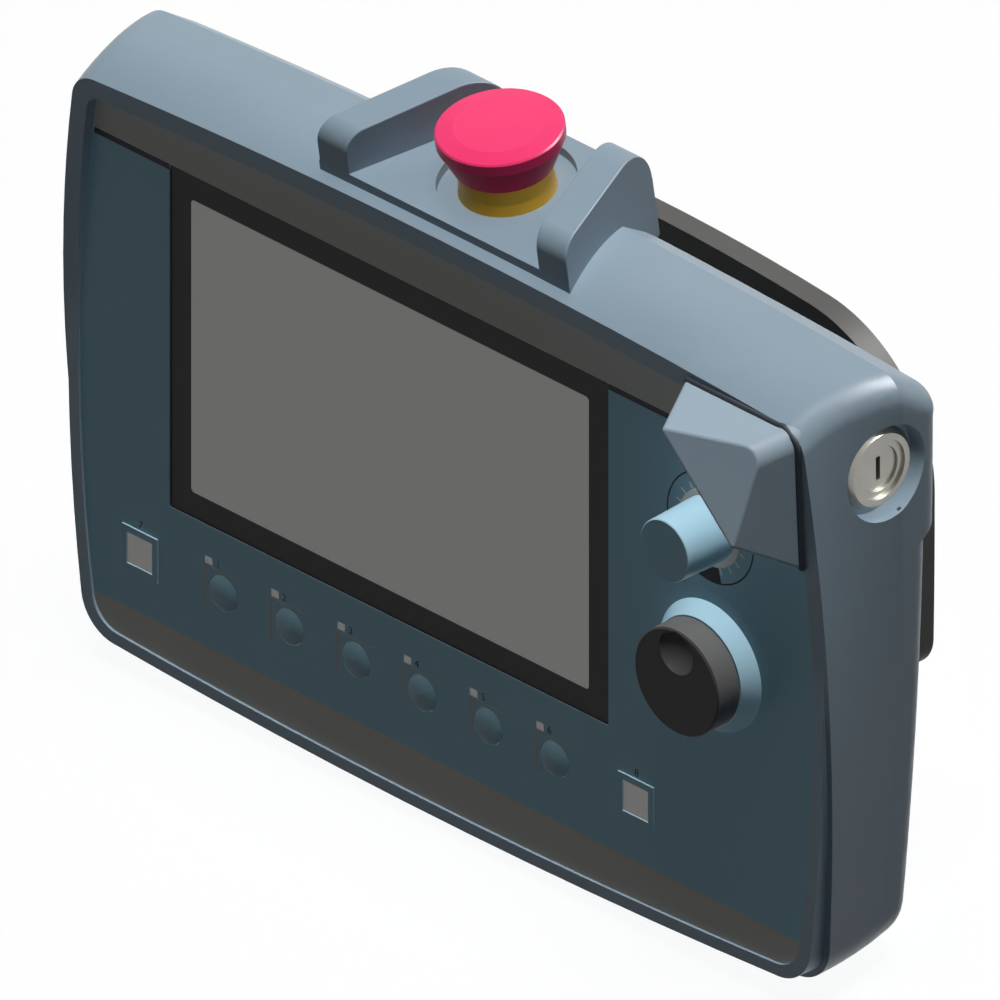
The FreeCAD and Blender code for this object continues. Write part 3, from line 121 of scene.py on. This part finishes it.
# The shroud is moulded in the same blend, a shade darker; the corner guard is a shade lighter.
moulded_shroud_grey = finish_of("moulded_pc_abs_shroud_grey", ("879ba9", "8fa2b0"), (0.42, 0.50), 30,
                                0.6, 0.009, IOR=1.52, Specular_IOR_Level=0.12)
moulded_guard_grey = finish_of("moulded_pc_abs_guard_grey", ("99acba", "a1b3c0"), (0.38, 0.46), 30,
                               0.6, 0.008, IOR=1.52, Specular_IOR_Level=0.14)

# Polyester film, printed from behind: even petrol under a satin face with a very fine texture.
# The keys are embossed in the same film and shine a little more; the two strips are warm grey.
film_petrol = finish_of("polyester_film_petrol", ("82a8b8", "88aebe"), (0.42, 0.48), 45, 0.35, 0.003,
                        IOR=1.58, Specular_IOR_Level=0.10)
film_key = finish_of("embossed_polyester_film_petrol", ("7ca1b0", "82a7b6"), (0.36, 0.42), 20, 0.35, 0.003,
                     IOR=1.58, Specular_IOR_Level=0.12)
film_grey = finish_of("polyester_film_warm_grey", ("a9a9a3", "afafa9"), (0.42, 0.50), 40, 0.35, 0.003,
                      IOR=1.58, Specular_IOR_Level=0.10)

# Walls of the film's holes and sides of the keys: painted shade, darker than the face, for the gaps between
# film and keys where shade falls.
painted_shade_film = finish_of("polyester_film_sides_painted_shade", ("42565f", "485c65"), (0.50, 0.58), 20, IOR=1.58,
                      Specular_IOR_Level=0.08)

# Border of the display's cover, printed black behind a matt hard coat.
cover_black = finish_of("hard_coated_cover_black", ("202020", "242424"), (0.38, 0.44), 40, IOR=1.50,
                        Specular_IOR_Level=0.08)

# The display is on but blank: an even warm grey that glows by itself, under the same hard coat.
display_grey = finish_of("backlit_display_grey", ("6a6a68", "6c6c6a"), (0.34, 0.38), 60, IOR=1.50,
                         Specular_IOR_Level=0.08, Emission_Color=linear("686866"), Emission_Strength=0.80)

# Screen-print inks on the film: dead flat, a little thicker than a stain.
ink_black = finish_of("screen_ink_black", ("15191b", "1a1e20"), (0.68, 0.74), 5, Specular_IOR_Level=0.15)
ink_brown = finish_of("screen_ink_brown_grey", ("aba099", "b1a69f"), (0.68, 0.74), 5,
                      Specular_IOR_Level=0.15)
ink_beige = finish_of("screen_ink_beige", ("e2ddd3", "e8e3d9"), (0.62, 0.68), 5, Specular_IOR_Level=0.15)

# Lamp windows and lamp keys, moulded in milky acrylic: pale grey when unlit, with a satin face.
# A faint glow stands in for the daylight that the acrylic scatters.
acrylic_milky = finish_of("milky_acrylic_unlit", ("a4a4a0", "acaca8"), (0.32, 0.38), 6, IOR=1.49,
                          Emission_Color=linear("a9a9a7"), Emission_Strength=0.14)

# Frames of the lamp keys: petrol, moulded smooth; their edges take a lighter petrol than their fronts, a
# painted highlight.
frame_edge_painted_light = finish_of("petrol_frame_edges_painted_light", ("9dbccb", "a3c2d1"), (0.30, 0.36), 10, IOR=1.50,
                         Specular_IOR_Level=0.30)

# Emergency stop: polished polyamide head in signal red, with painted shade on its downward flank, which is
# also a little duller, and its collar in signal yellow.
polyamide_red = finish_of("polished_polyamide_red", ("fd3873", "ff407d"), (0.28, 0.34), 14, 0.9, 0.004,
                          IOR=1.53, Specular_IOR_Level=0.09)
red_flank_painted_shade = finish_of("red_cap_flank_painted_shade", ("c01544", "c81c4b"), (0.30, 0.36), 14,
                                IOR=1.53, Specular_IOR_Level=0.04)
polyamide_yellow = finish_of("polished_polyamide_yellow", ("e6b032", "ecb63a"), (0.30, 0.36), 12, IOR=1.53,
                             Specular_IOR_Level=0.16)

# Lacquered knob and handwheel cone: pale petrol with a clear highlight along the side.
# The knob's end face is duller, and darker by painted shade: a darker copy of the lacquer for a face that
# looks forwards, away from the light.
lacquer_petrol = finish_of("lacquered_knob_petrol", ("bbe4f6", "c1eafc"), (0.30, 0.36), 12, IOR=1.52,
                           Specular_IOR_Level=0.16)
knob_face_painted_shade = finish_of("knob_end_face_painted_shade", ("8db5c6", "93bbcc"), (0.34, 0.40), 12, IOR=1.52,
                         Specular_IOR_Level=0.08)

# Glass-filled polyamide of the handwheel, grip and gland: black, slightly open grain.
# The handwheel's rim is turned smooth and a little glossier; its lighter colour is painted light, a lighter
# copy of the black for the sides that catch more light than the face.
polyamide_black = finish_of("glass_filled_polyamide_black", ("484847", "4e4e4d"), (0.40, 0.50), 12,
                            0.5, 0.010, IOR=1.53, Specular_IOR_Level=0.05)
wheel_rim_painted_light = finish_of("black_wheel_rim_painted_light", ("706f6e", "767574"), (0.34, 0.42), 12, 0.5, 0.006,
                          IOR=1.53, Specular_IOR_Level=0.08)
grip_black = finish_of("moulded_grip_black", ("565553", "5d5c5a"), (0.46, 0.56), 25, 0.7, 0.015, IOR=1.53,
                       Specular_IOR_Level=0.07)

# Thermoplastic rubber of the pad and the paddles: softer sheen than the grip around it.
rubber_black = finish_of("thermoplastic_rubber_black", ("2b2b2a", "313130"), (0.66, 0.78), 18, 0.8, 0.030,
                         IOR=1.52, Specular_IOR_Level=0.25)

# Bead behind the corner guard: dark slate and matt, painted shade that stands in for the shaded groove of the
# joint.
bead_painted_shade = finish_of("dark_slate_joint_painted_shade", ("30383f", "363e45"), (0.60, 0.70), 10, IOR=1.52,
                         Specular_IOR_Level=0.10)

# Nickel-plated brass lock, turned and then satin finished; zinc-plated screws with a cloudy passivation.
nickel_satin = finish_of("satin_nickel_plate", ("8a8983", "96958f"), (0.28, 0.40), 7, 0.25, 0.004,
                         Metallic=1.0)
zinc_screw = finish_of("zinc_plated_screw", ("85868a", "979793"), (0.34, 0.46), 3, 0.3, 0.006, Metallic=1.0)

# Scale ring below the knob, moulded in beige with a dull face.
collar_beige = finish_of("moulded_scale_ring_beige", ("d6d1c8", "dcd7ce"), (0.46, 0.54), 8, IOR=1.50,
                         Specular_IOR_Level=0.30)

# Hidden inside: boards under green solder resist, and plain grey component bodies.
board_green = finish_of("solder_resist_green", ("1d5a36", "236340"), (0.40, 0.50), 9)
module_grey = finish_of("component_grey", ("6a6a6c", "727274"), (0.46, 0.54), 10)

FINISHES = {
    moulded_blue_grey: ["front_shell", "rear_shell"],
    moulded_shroud_grey: ["estop_guard"],
    moulded_guard_grey: ["corner_guard"],
    painted_shade_film: ["keypad_overlay"] + FUNCTION_KEYS,
    film_grey: ["header_strip", "footer_strip"],
    cover_black: ["display_bezel"],
    display_grey: ["screen"],
    acrylic_milky: ["key_lamps"] + LAMP_KEYS,
    frame_edge_painted_light: ["key_frames"],
    polyamide_red: ["estop_cap"],
    polyamide_yellow: ["estop_collar"],
    lacquer_petrol: ["override_knob", "handwheel_base"],
    wheel_rim_painted_light: ["handwheel_disc"],
    polyamide_black: ["estop_stem", "estop_contact_block", "cable_gland", "gland_nut"],
    grip_black: ["grip_neck", "grip_plate"],
    rubber_black: ["grip_pad", "enabling_paddle_left", "enabling_paddle_right", "housing_seal"],
    nickel_satin: ["lock_bezel", "lock_core"],
    zinc_screw: ["shell_screws", "board_screws", "grip_screws", "lock_nut", "override_shaft",
                 "handwheel_shaft"],
    collar_beige: ["override_collar"],
    board_green: ["main_board", "key_board"],
    module_grey: ["lcd_module", "key_switches", "override_potentiometer", "handwheel_encoder",
                  "lock_switch", "enabling_switches"],
}

# Faces that look a given way have a second finish: that finish, the way, and the least cosine to it.
# This paints light and shade by where a face looks: painted shade on the cap's downward flank and the knob's
# end face, plain black on the handwheel's face against its painted-light rim, the film's face and the keys'
# fronts against their painted-shade sides, and the keys' film on the frames' fronts against their
# painted-highlight edges.
cap_axis = Vector(joint_of["estop_twist"]["axis"]).normalized()
CAP_DOWN = -cap_axis if cap_axis.z > 0 else cap_axis
FACE_FINISHES = {
    "override_knob": (knob_face_painted_shade, FORWARD, 0.96),
    "handwheel_disc": (polyamide_black, FORWARD, 0.60),
    "keypad_overlay": (film_petrol, FORWARD, 0.90),
    "key_frames": (film_key, FORWARD, 0.90),
    "estop_cap": (red_flank_painted_shade, CAP_DOWN, 0.25),
    **{key: (film_key, FORWARD, 0.50) for key in FUNCTION_KEYS},
}


# Pieces

# Nodes that stay as they are and only take their finish; the others get a smoothly shaded copy.
FLAT = {"header_strip", "footer_strip", "display_bezel", "screen", "key_lamps", "lcd_module", "main_board",
        "key_board", "key_switches", "enabling_switches", "lock_switch"}

# Turned nodes and the joint that gives their axis.
TURNED = {"estop_cap": "estop_twist", "estop_collar": "estop_twist", "override_knob": "override_turn",
          "handwheel_base": "handwheel_spin", "handwheel_disc": "handwheel_spin",
          "lock_bezel": "lock_turn", "lock_core": "lock_turn"}

MERGE_DISTANCE = 1e-6
CREASE_ANGLE = math.radians(28)
RING_STEP = math.radians(1.5)
RING_TOLERANCE = 0.02 * MM

wheel_low, wheel_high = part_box("handwheel_disc")
WHEEL_MIDDLE = (wheel_low + wheel_high) / 2
WHEEL_FACE = 0.88 * (wheel_high.x - wheel_low.x) / 2  # radius of the disc's face inside its rim


def piece(name, mesh, material, body):
    """A finished piece at the origin that rides on a body; without a material, the mesh keeps its own."""
    made = bpy.data.objects.new(name, mesh)
    bpy.context.scene.collection.objects.link(made)
    if material:
        mesh.materials.clear()
        mesh.materials.append(material)
    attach(made, body)
    return made


def holder_of(name, data):
    """A passing object for data whose final mesh is wanted."""
    holder = bpy.data.objects.new(name + "_holder", data)
    bpy.context.scene.collection.objects.link(holder)
    return holder


def settle(holder):
    """The plain mesh that a passing object gives; the object goes, with its modifiers."""
    mesh = bpy.data.meshes.new_from_object(holder.evaluated_get(bpy.context.evaluated_depsgraph_get()))
    holder.modifiers.clear()
    bpy.data.objects.remove(holder)
    return mesh


def merged(mesh):
    """A working copy of a mesh with the corners of its triangles joined."""
    work = bmesh.new()
    work.from_mesh(mesh)
    bmesh.ops.remove_doubles(work, verts=work.verts, dist=MERGE_DISTANCE)
    return work


def crease_rings(work, joint):
    """Marks the circles where a turned profile changes direction, so that shallow steps still show."""
    axis = Vector(joint["axis"]).normalized()
    middle = Vector(joint["pos_m"])
    for edge in work.edges:
        if len(edge.link_faces) != 2 or edge.calc_face_angle(0.0) < RING_STEP:
            continue
        arms = [vert.co - middle for vert in edge.verts]
        heights = [arm.dot(axis) for arm in arms]
        radii = [(arm - axis * height).length for arm, height in zip(arms, heights)]
        if abs(heights[0] - heights[1]) < RING_TOLERANCE and abs(radii[0] - radii[1]) < RING_TOLERANCE:
            edge.smooth = False


def in_dimple(node, place):
    """Whether a place lies within the face of the handwheel's disc, and so in its finger dimple."""
    reach = math.hypot(place.x - WHEEL_MIDDLE.x, place.z - WHEEL_MIDDLE.z)
    return node == "handwheel_disc" and reach < WHEEL_FACE


def smooth_copy(node, material):
    """A copy of a node with its triangles joined: round faces shade evenly, flats stay flat, edges crisp."""
    mesh = nodes[node].data.copy()
    stored = mesh.attributes.get("custom_normal")
    if stored:
        mesh.attributes.remove(stored)
    work = merged(mesh)
    for face in work.faces:
        face.smooth = True
    for edge in work.edges:
        edge.smooth = len(edge.link_faces) == 2 and edge.calc_face_angle(math.pi) < CREASE_ANGLE
    if node in TURNED:
        crease_rings(work, joint_of[TURNED[node]])
    work.to_mesh(mesh)
    work.free()
    holder = holder_of(node, mesh)
    levelled = holder.modifiers.new("level_normals", "WEIGHTED_NORMAL")
    levelled.keep_sharp = True
    levelled.weight = 100
    mesh = settle(holder)
    made = piece(node + "_finished", mesh, material, body_of[node])
    # Faces that look the given way take the second finish; the split paints light or shade by direction.
    if node in FACE_FINISHES:
        second, way, least = FACE_FINISHES[node]
        mesh.materials.append(second)
        for polygon in mesh.polygons:
            looks = polygon.normal.dot(way) > least
            polygon.material_index = int(looks or in_dimple(node, polygon.center))
    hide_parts(node)


for material, members in FINISHES.items():
    for node in members:
        if node in FLAT:
            nodes[node].data.materials.clear()
            nodes[node].data.materials.append(material)
        else:
            smooth_copy(node, material)


# Dark bead in the joint between the corner guard and the shell, painted shade for the shaded groove there

BEAD_RADIUS = 0.95 * MM
BEAD_SINK = 0.30 * MM
BEAD_FORWARD = 0.8 * MM
BACK_LEAST = 0.5  # the guard's back faces look at least this much backwards,
WALL_LEAN = (-0.5, -0.12)  # its tapered outer walls lean forwards by this much
WALL_LEAST = 0.3  # and look at least this much up or to the right


def guard_bead():
    """A round bead along the upper and outer edge of the guard's back face, partly sunk into the joint."""
    work = merged(nodes["corner_guard"].data)
    outward = {}
    for edge in work.edges:
        pair = sorted(edge.link_faces, key=lambda face: face.normal.y)
        wall, back = pair[0].normal, pair[-1].normal
        outer = WALL_LEAN[0] < wall.y < WALL_LEAN[1] and max(wall.x, wall.z) > WALL_LEAST
        if back.y > BACK_LEAST and outer:
            for vert in edge.verts:
                outward[vert] = outward.get(vert, Vector()) + Vector((wall.x, 0.0, wall.z)).normalized()
    forward = FORWARD * BEAD_FORWARD
    stops = [vert.co + forward - out.normalized() * BEAD_SINK for vert, out in outward.items()]
    stops.sort(key=lambda stop: stop.x - stop.z)
    work.free()
    curve = bpy.data.curves.new("guard_bead", "CURVE")
    curve.dimensions = "3D"
    curve.bevel_depth = BEAD_RADIUS
    curve.bevel_resolution = 3
    curve.use_fill_caps = True
    spline = curve.splines.new("POLY")
    spline.points.add(len(stops) - 1)
    for point, stop in zip(spline.points, stops):
        point.co = (*stop, 1.0)
    mesh = settle(holder_of("guard_bead", curve))
    mesh.shade_smooth()
    piece("guard_bead", mesh, bead_painted_shade, "housing")


guard_bead()


# Printed marks on the film

FACE_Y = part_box("keypad_overlay")[0].y
INK = 0.04 * MM
KEY_CENTRES = [(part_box(f"function_key_{i}")[0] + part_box(f"function_key_{i}")[1]) / 2 for i in range(1, 7)]


def grow(name, inputs, build, material, move):
    """Runs a node tree made by build on an empty mesh and returns the plain mesh, moved to its place."""
    tree = bpy.data.node_groups.new(name, "GeometryNodeTree")
    tree.interface.new_socket("Geometry", in_out="OUTPUT", socket_type="NodeSocketGeometry")
    identifiers = {}
    for label, value in inputs.items():
        kind = "NodeSocketInt" if isinstance(value, int) else "NodeSocketFloat"
        identifiers[label] = tree.interface.new_socket(label, in_out="INPUT", socket_type=kind).identifier
    start = add(tree, "NodeGroupInput")
    instances = build(tree, start.outputs)
    real = add(tree, "GeometryNodeRealizeInstances", {"Geometry": instances})
    painted = add(tree, "GeometryNodeSetMaterial",
                  {"Geometry": real.outputs["Geometry"], "Material": material})
    end = add(tree, "NodeGroupOutput")
    tree.links.new(painted.outputs["Geometry"], end.inputs[0])
    holder = holder_of(name, bpy.data.meshes.new(name + "_empty"))
    modifier = holder.modifiers.new(name, "NODES")
    modifier.node_group = tree
    for label, value in inputs.items():
        modifier[identifiers[label]] = value
    mesh = settle(holder)
    mesh.transform(Matrix.Translation(move))
    return mesh


def times(tree, value, factor):
    """A value multiplied by a factor inside a node tree."""
    return add(tree, "ShaderNodeMath", {0: value, 1: factor}, operation="MULTIPLY").outputs[0]


def bar(tree, length, thickness, height, at):
    """A block of the given size along x, y and z with its centre at a place, inside a node tree."""
    size = add(tree, "ShaderNodeCombineXYZ", {"X": length, "Y": thickness, "Z": height})
    block = add(tree, "GeometryNodeMeshCube", {"Size": size.outputs["Vector"]})
    place = add(tree, "ShaderNodeCombineXYZ", dict(zip("XYZ", at)))
    moved = add(tree, "GeometryNodeTransform",
                {"Geometry": block.outputs["Mesh"], "Translation": place.outputs["Vector"]})
    return moved.outputs["Geometry"]


def row_of(tree, instance, count, offset):
    """A row of instances, each one step further than the last, inside a node tree."""
    step = add(tree, "ShaderNodeCombineXYZ", offset)
    points = add(tree, "GeometryNodeMeshLine", {"Count": count, "Offset": step.outputs["Vector"]},
                 mode="OFFSET")
    placed = add(tree, "GeometryNodeInstanceOnPoints",
                 {"Points": points.outputs["Mesh"], "Instance": instance})
    return placed.outputs["Instances"]


def key_brackets(tree, size):
    """One bracket of two thin lines for each key, set in a row."""
    line_at = (times(tree, size["Line"], 0.5), 0.0, 0.0)
    stem_at = (0.0, 0.0, times(tree, size["Stem"], -0.5))
    both = add(tree, "GeometryNodeJoinGeometry")
    for arm in (bar(tree, size["Line"], size["Ink"], size["Line width"], line_at),
                bar(tree, size["Stem width"], size["Ink"], size["Stem"], stem_at)):
        tree.links.new(arm, both.inputs["Geometry"])
    return row_of(tree, both.outputs["Geometry"], size["Count"], {"X": size["Pitch"]})


BRACKET_LEFT = 6.9 * MM
BRACKET_ABOVE = 6.3 * MM
BRACKET_SIZES = {"Count": len(KEY_CENTRES), "Pitch": KEY_CENTRES[1].x - KEY_CENTRES[0].x, "Line": 13.6 * MM,
                 "Line width": 0.45 * MM, "Stem": 12.9 * MM, "Stem width": 0.75 * MM, "Ink": INK}
brackets = grow("key_brackets", BRACKET_SIZES, key_brackets, ink_brown,
                (KEY_CENTRES[0].x - BRACKET_LEFT, FACE_Y, KEY_CENTRES[0].z + BRACKET_ABOVE))
piece("key_brackets", brackets, None, "housing")

FIGURE_HEIGHT = 2.3 * MM
FONT_SIZE = 1.42 * FIGURE_HEIGHT  # the font's figures are lower than its nominal size
FIGURE_LEFT = 1.9 * MM
FIGURE_ABOVE = 7.3 * MM
LAMP_FIGURE_ABOVE = 1.8 * MM


def key_figure(number, x, z):
    """A key's printed figure with its foot at z, centred on x."""
    name = f"key_figure_{number}"
    curve = bpy.data.curves.new(name, "FONT")
    curve.body = str(number)
    curve.size = FONT_SIZE
    curve.align_x = "CENTER"
    curve.extrude = INK / 2
    curve.resolution_u = 4
    mesh = settle(holder_of(name, curve))
    mesh.transform(Matrix.Translation((x, FACE_Y, z)) @ Matrix.Rotation(math.pi / 2, 4, "X"))
    piece(name, mesh, ink_black, "housing")


for number, centre in enumerate(KEY_CENTRES, 1):
    key_figure(number, centre.x - FIGURE_LEFT, centre.z + FIGURE_ABOVE)
for number, node in enumerate(LAMP_KEYS, len(KEY_CENTRES) + 1):
    low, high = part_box(node)
    key_figure(number, (low.x + high.x) / 2, high.z + LAMP_FIGURE_ABOVE)


def header_line(name, x0, x1, z0, z1):
    """A printed rectangle on the film."""
    mesh = bpy.data.meshes.new(name)
    work = bmesh.new()
    bmesh.ops.create_cube(work, size=1)
    work.to_mesh(mesh)
    work.free()
    size = Matrix.Diagonal((x1 - x0, INK, z1 - z0, 1))
    mesh.transform(Matrix.Translation(((x0 + x1) / 2, FACE_Y, (z0 + z1) / 2)) @ size)
    piece(name, mesh, ink_black, "housing")


strip_low, strip_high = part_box("header_strip")
bezel_low, bezel_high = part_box("display_bezel")
LINE_MARGIN = 0.8 * MM
header_line("header_line_left", strip_low.x + LINE_MARGIN, bezel_low.x, strip_low.z, bezel_high.z)
header_line("header_line_right", bezel_high.x, strip_high.x - LINE_MARGIN, strip_low.z, bezel_high.z)


def arc_band(name, centre, inner, outer, start, end, steps):
    """A printed band of a circle between two angles, counted anticlockwise from straight down."""
    mesh = bpy.data.meshes.new(name)
    work = bmesh.new()
    whole = end - start == 360
    section = ((inner, -INK / 2), (outer, -INK / 2), (outer, INK / 2), (inner, INK / 2))
    rings = []
    for i in range(steps if whole else steps + 1):
        angle = math.radians(start + (end - start) * i / steps)
        across, up = math.sin(angle), -math.cos(angle)
        rings.append([work.verts.new((centre.x + across * r, FACE_Y + y, centre.z + up * r))
                      for r, y in section])
    for a, b in zip(rings, rings[1:] + rings[:1] if whole else rings[1:]):
        for k in range(4):
            work.faces.new((a[k], a[(k + 1) % 4], b[(k + 1) % 4], b[k]))
    if not whole:
        work.faces.new(rings[0])
        work.faces.new(rings[-1])
    bmesh.ops.recalc_face_normals(work, faces=work.faces)
    work.to_mesh(mesh)
    work.free()
    piece(name, mesh, ink_black, "housing")


knob_low, knob_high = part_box("override_collar")
dial = (knob_low + knob_high) / 2
DIAL_RADIUS = 16.75 * MM
DIAL_INSIDE = DIAL_RADIUS - 0.5 * MM
SECTOR_INSIDE = 11.6 * MM
SECTOR_HALF = 15  # degrees to either side of straight down
arc_band("dial_ring", dial, DIAL_INSIDE, DIAL_RADIUS, 0, 360, 96)
arc_band("dial_sector", dial, SECTOR_INSIDE, DIAL_INSIDE, -SECTOR_HALF, SECTOR_HALF, 24)


def dial_ticks(tree, size):
    """Short radial lines at even steps round the dial, with a gap at the bottom."""
    points = add(tree, "GeometryNodeMeshLine", {"Count": size["Count"], "Offset": (0.0, 0.0, 0.0)},
                 mode="OFFSET")
    index = add(tree, "GeometryNodeInputIndex")
    turned = add(tree, "ShaderNodeMath", {0: index.outputs["Index"], 1: 1.0}, operation="ADD")
    euler = add(tree, "ShaderNodeCombineXYZ", {"Y": times(tree, turned.outputs[0], size["Step"])})
    turn = add(tree, "FunctionNodeEulerToRotation", {"Euler": euler.outputs["Vector"]})
    reach = add(tree, "ShaderNodeMath", {0: size["Inner radius"], 1: times(tree, size["Tick"], 0.5)},
                operation="ADD")
    tick = bar(tree, size["Tick width"], size["Ink"], size["Tick"],
               (0.0, 0.0, times(tree, reach.outputs[0], -1.0)))
    placed = add(tree, "GeometryNodeInstanceOnPoints",
                 {"Points": points.outputs["Mesh"], "Instance": tick, "Rotation": turn.outputs["Rotation"]})
    return placed.outputs["Instances"]


TICK_SIZES = {"Count": 19, "Step": math.radians(18), "Inner radius": 11.7 * MM, "Tick": 2.1 * MM,
              "Tick width": 0.4 * MM, "Ink": INK}
ticks = grow("dial_ticks", TICK_SIZES, dial_ticks, ink_beige, (dial.x, FACE_Y, dial.z))
piece("dial_ticks", ticks, None, "housing")


# Finger ribs on the paddles

def paddle_ribs(tree, size):
    """Round bars across a paddle, one above the other."""
    start = add(tree, "ShaderNodeCombineXYZ", {"X": times(tree, size["Length"], -0.5)})
    end = add(tree, "ShaderNodeCombineXYZ", {"X": times(tree, size["Length"], 0.5)})
    line = add(tree, "GeometryNodeCurvePrimitiveLine",
               {"Start": start.outputs["Vector"], "End": end.outputs["Vector"]})
    section = add(tree, "GeometryNodeCurvePrimitiveCircle", {"Resolution": 16, "Radius": size["Radius"]})
    rib = add(tree, "GeometryNodeCurveToMesh",
              {"Curve": line.outputs["Curve"], "Profile Curve": section.outputs["Curve"], "Fill Caps": True})
    return row_of(tree, rib.outputs["Mesh"], size["Count"], {"Z": size["Pitch"]})


RIB_SIZES = {"Count": 7, "Pitch": 6.4 * MM, "Length": 33.0 * MM, "Radius": 1.0 * MM}
RIB_CREASE = math.radians(40)
for side in ("left", "right"):
    low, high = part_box(f"enabling_paddle_{side}")
    foot = (low.z + high.z - (RIB_SIZES["Count"] - 1) * RIB_SIZES["Pitch"]) / 2
    ribs = grow(f"paddle_ribs_{side}", RIB_SIZES, paddle_ribs, rubber_black,
                ((low.x + high.x) / 2, low.y + RIB_SIZES["Radius"] / 2, foot))
    ribs.shade_smooth()
    ribs.set_sharp_from_angle(angle=RIB_CREASE)
    piece(f"paddle_ribs_{side}", ribs, None, f"paddle_{side}")


# Floor, light and camera

FLOOR_HALF = 6.0
FLOOR_GLOW = 0.56
WORLD_LEVEL = 0.04
PHOTO_WIDTH = 0.27103
PHOTO_AIM = Vector((0.010023, -0.021227, 0.10458))
PHOTO_AZIMUTH = math.radians(45)
PHOTO_ELEVATION = math.radians(30)
CAMERA_DISTANCE = 1.5
CLIP_END = 20


def seen(tree):
    """One for rays that the eye, gloss or clear matter sends out, nought for bounced light."""
    path = add(tree, "ShaderNodeLightPath").outputs
    gloss = add(tree, "ShaderNodeMath", {0: path["Is Camera Ray"], 1: path["Is Glossy Ray"]},
                operation="ADD")
    every = add(tree, "ShaderNodeMath", {0: gloss.outputs[0], 1: path["Is Transmission Ray"]},
                operation="ADD", use_clamp=True)
    return every.outputs[0]


def pale_floor():
    """A wide pale floor: white to the eye and to gloss, darker to bounced light, and it keeps the shadow."""
    mesh = bpy.data.meshes.new("floor")
    work = bmesh.new()
    bmesh.ops.create_grid(work, x_segments=1, y_segments=1, size=FLOOR_HALF)
    work.to_mesh(mesh)
    work.free()
    floor = bpy.data.objects.new("floor", mesh)
    bpy.context.scene.collection.objects.link(floor)
    material = bpy.data.materials.new("pale_studio_floor")
    material.use_nodes = True
    tree = material.node_tree
    tree.nodes.clear()
    ray = seen(tree)
    colour = add(tree, "ShaderNodeMix", {"Factor": ray}, data_type="RGBA")
    colour.inputs["A"].default_value = linear("3e4042")
    colour.inputs["B"].default_value = linear("b4b4b4")
    matt = add(tree, "ShaderNodeBsdfDiffuse", {"Color": colour.outputs["Result"]})
    level = add(tree, "ShaderNodeMapRange", {"Value": ray, "To Min": 0.0, "To Max": FLOOR_GLOW})
    glow = add(tree, "ShaderNodeEmission", {"Strength": level.outputs["Result"]})
    both = add(tree, "ShaderNodeAddShader", {0: matt.outputs["BSDF"], 1: glow.outputs["Emission"]})
    out = add(tree, "ShaderNodeOutputMaterial")
    tree.links.new(both.outputs["Shader"], out.inputs["Surface"])
    mesh.materials.append(material)


def studio_world():
    """Even soft light from all round, with a white background for the eye and for gloss."""
    world = bpy.data.worlds.new("studio")
    bpy.context.scene.world = world
    world.use_nodes = True
    tree = world.node_tree
    tree.nodes.clear()
    level = add(tree, "ShaderNodeMapRange", {"Value": seen(tree), "To Min": WORLD_LEVEL, "To Max": 1.0})
    back = add(tree, "ShaderNodeBackground",
               {"Color": linear("ffffff"), "Strength": level.outputs["Result"]})
    out = add(tree, "ShaderNodeOutputWorld")
    tree.links.new(back.outputs["Background"], out.inputs["Surface"])


def sun(name, towards, strength, softness, shadow=True, diffuse=True):
    """A lamp far off in a direction, softness degrees wide; without diffuse it shows in gloss alone."""
    lamp = bpy.data.lights.new(name, "SUN")
    lamp.energy = strength
    lamp.angle = math.radians(softness)
    lamp.use_shadow = shadow
    holder = bpy.data.objects.new(name, lamp)
    bpy.context.scene.collection.objects.link(holder)
    holder.visible_diffuse = diffuse
    holder.rotation_euler = Vector(towards).to_track_quat("Z", "Y").to_euler()


def photo_camera():
    """A parallel view from the right and above, at the photograph's scale and framing."""
    camera = bpy.data.cameras.new("photo_camera")
    camera.type = "ORTHO"
    camera.ortho_scale = PHOTO_WIDTH
    camera.clip_end = CLIP_END
    holder = bpy.data.objects.new("photo_camera", camera)
    bpy.context.scene.collection.objects.link(holder)
    level = math.cos(PHOTO_ELEVATION)
    back = Vector((math.sin(PHOTO_AZIMUTH) * level, -math.cos(PHOTO_AZIMUTH) * level,
                   math.sin(PHOTO_ELEVATION)))
    holder.location = PHOTO_AIM + back * CAMERA_DISTANCE
    holder.rotation_euler = back.to_track_quat("Z", "Y").to_euler()
    bpy.context.scene.camera = holder


# The photograph is lit from above with hardly a cast shadow: the wash gives the level, the key the soft
# shadow, and a low fill keeps the back readable. The last two lamps draw the highlights.
pale_floor()
studio_world()
sun("overhead_wash", (0.12, -0.04, 1.0), 2.45, 12, shadow=False)
sun("overhead_key", (0.12, -0.04, 1.0), 0.40, 30)
sun("rear_fill", (-0.50, 0.85, -0.45), 1.40, 40, shadow=False)
sun("edge_glint", (0.30, 0.61, 0.66), 21.0, 34, diffuse=False)
sun("top_sheen", (-0.58, 0.45, 0.68), 0.35, 30, diffuse=False)
photo_camera()
bpy.context.scene.view_settings.view_transform = "Standard"
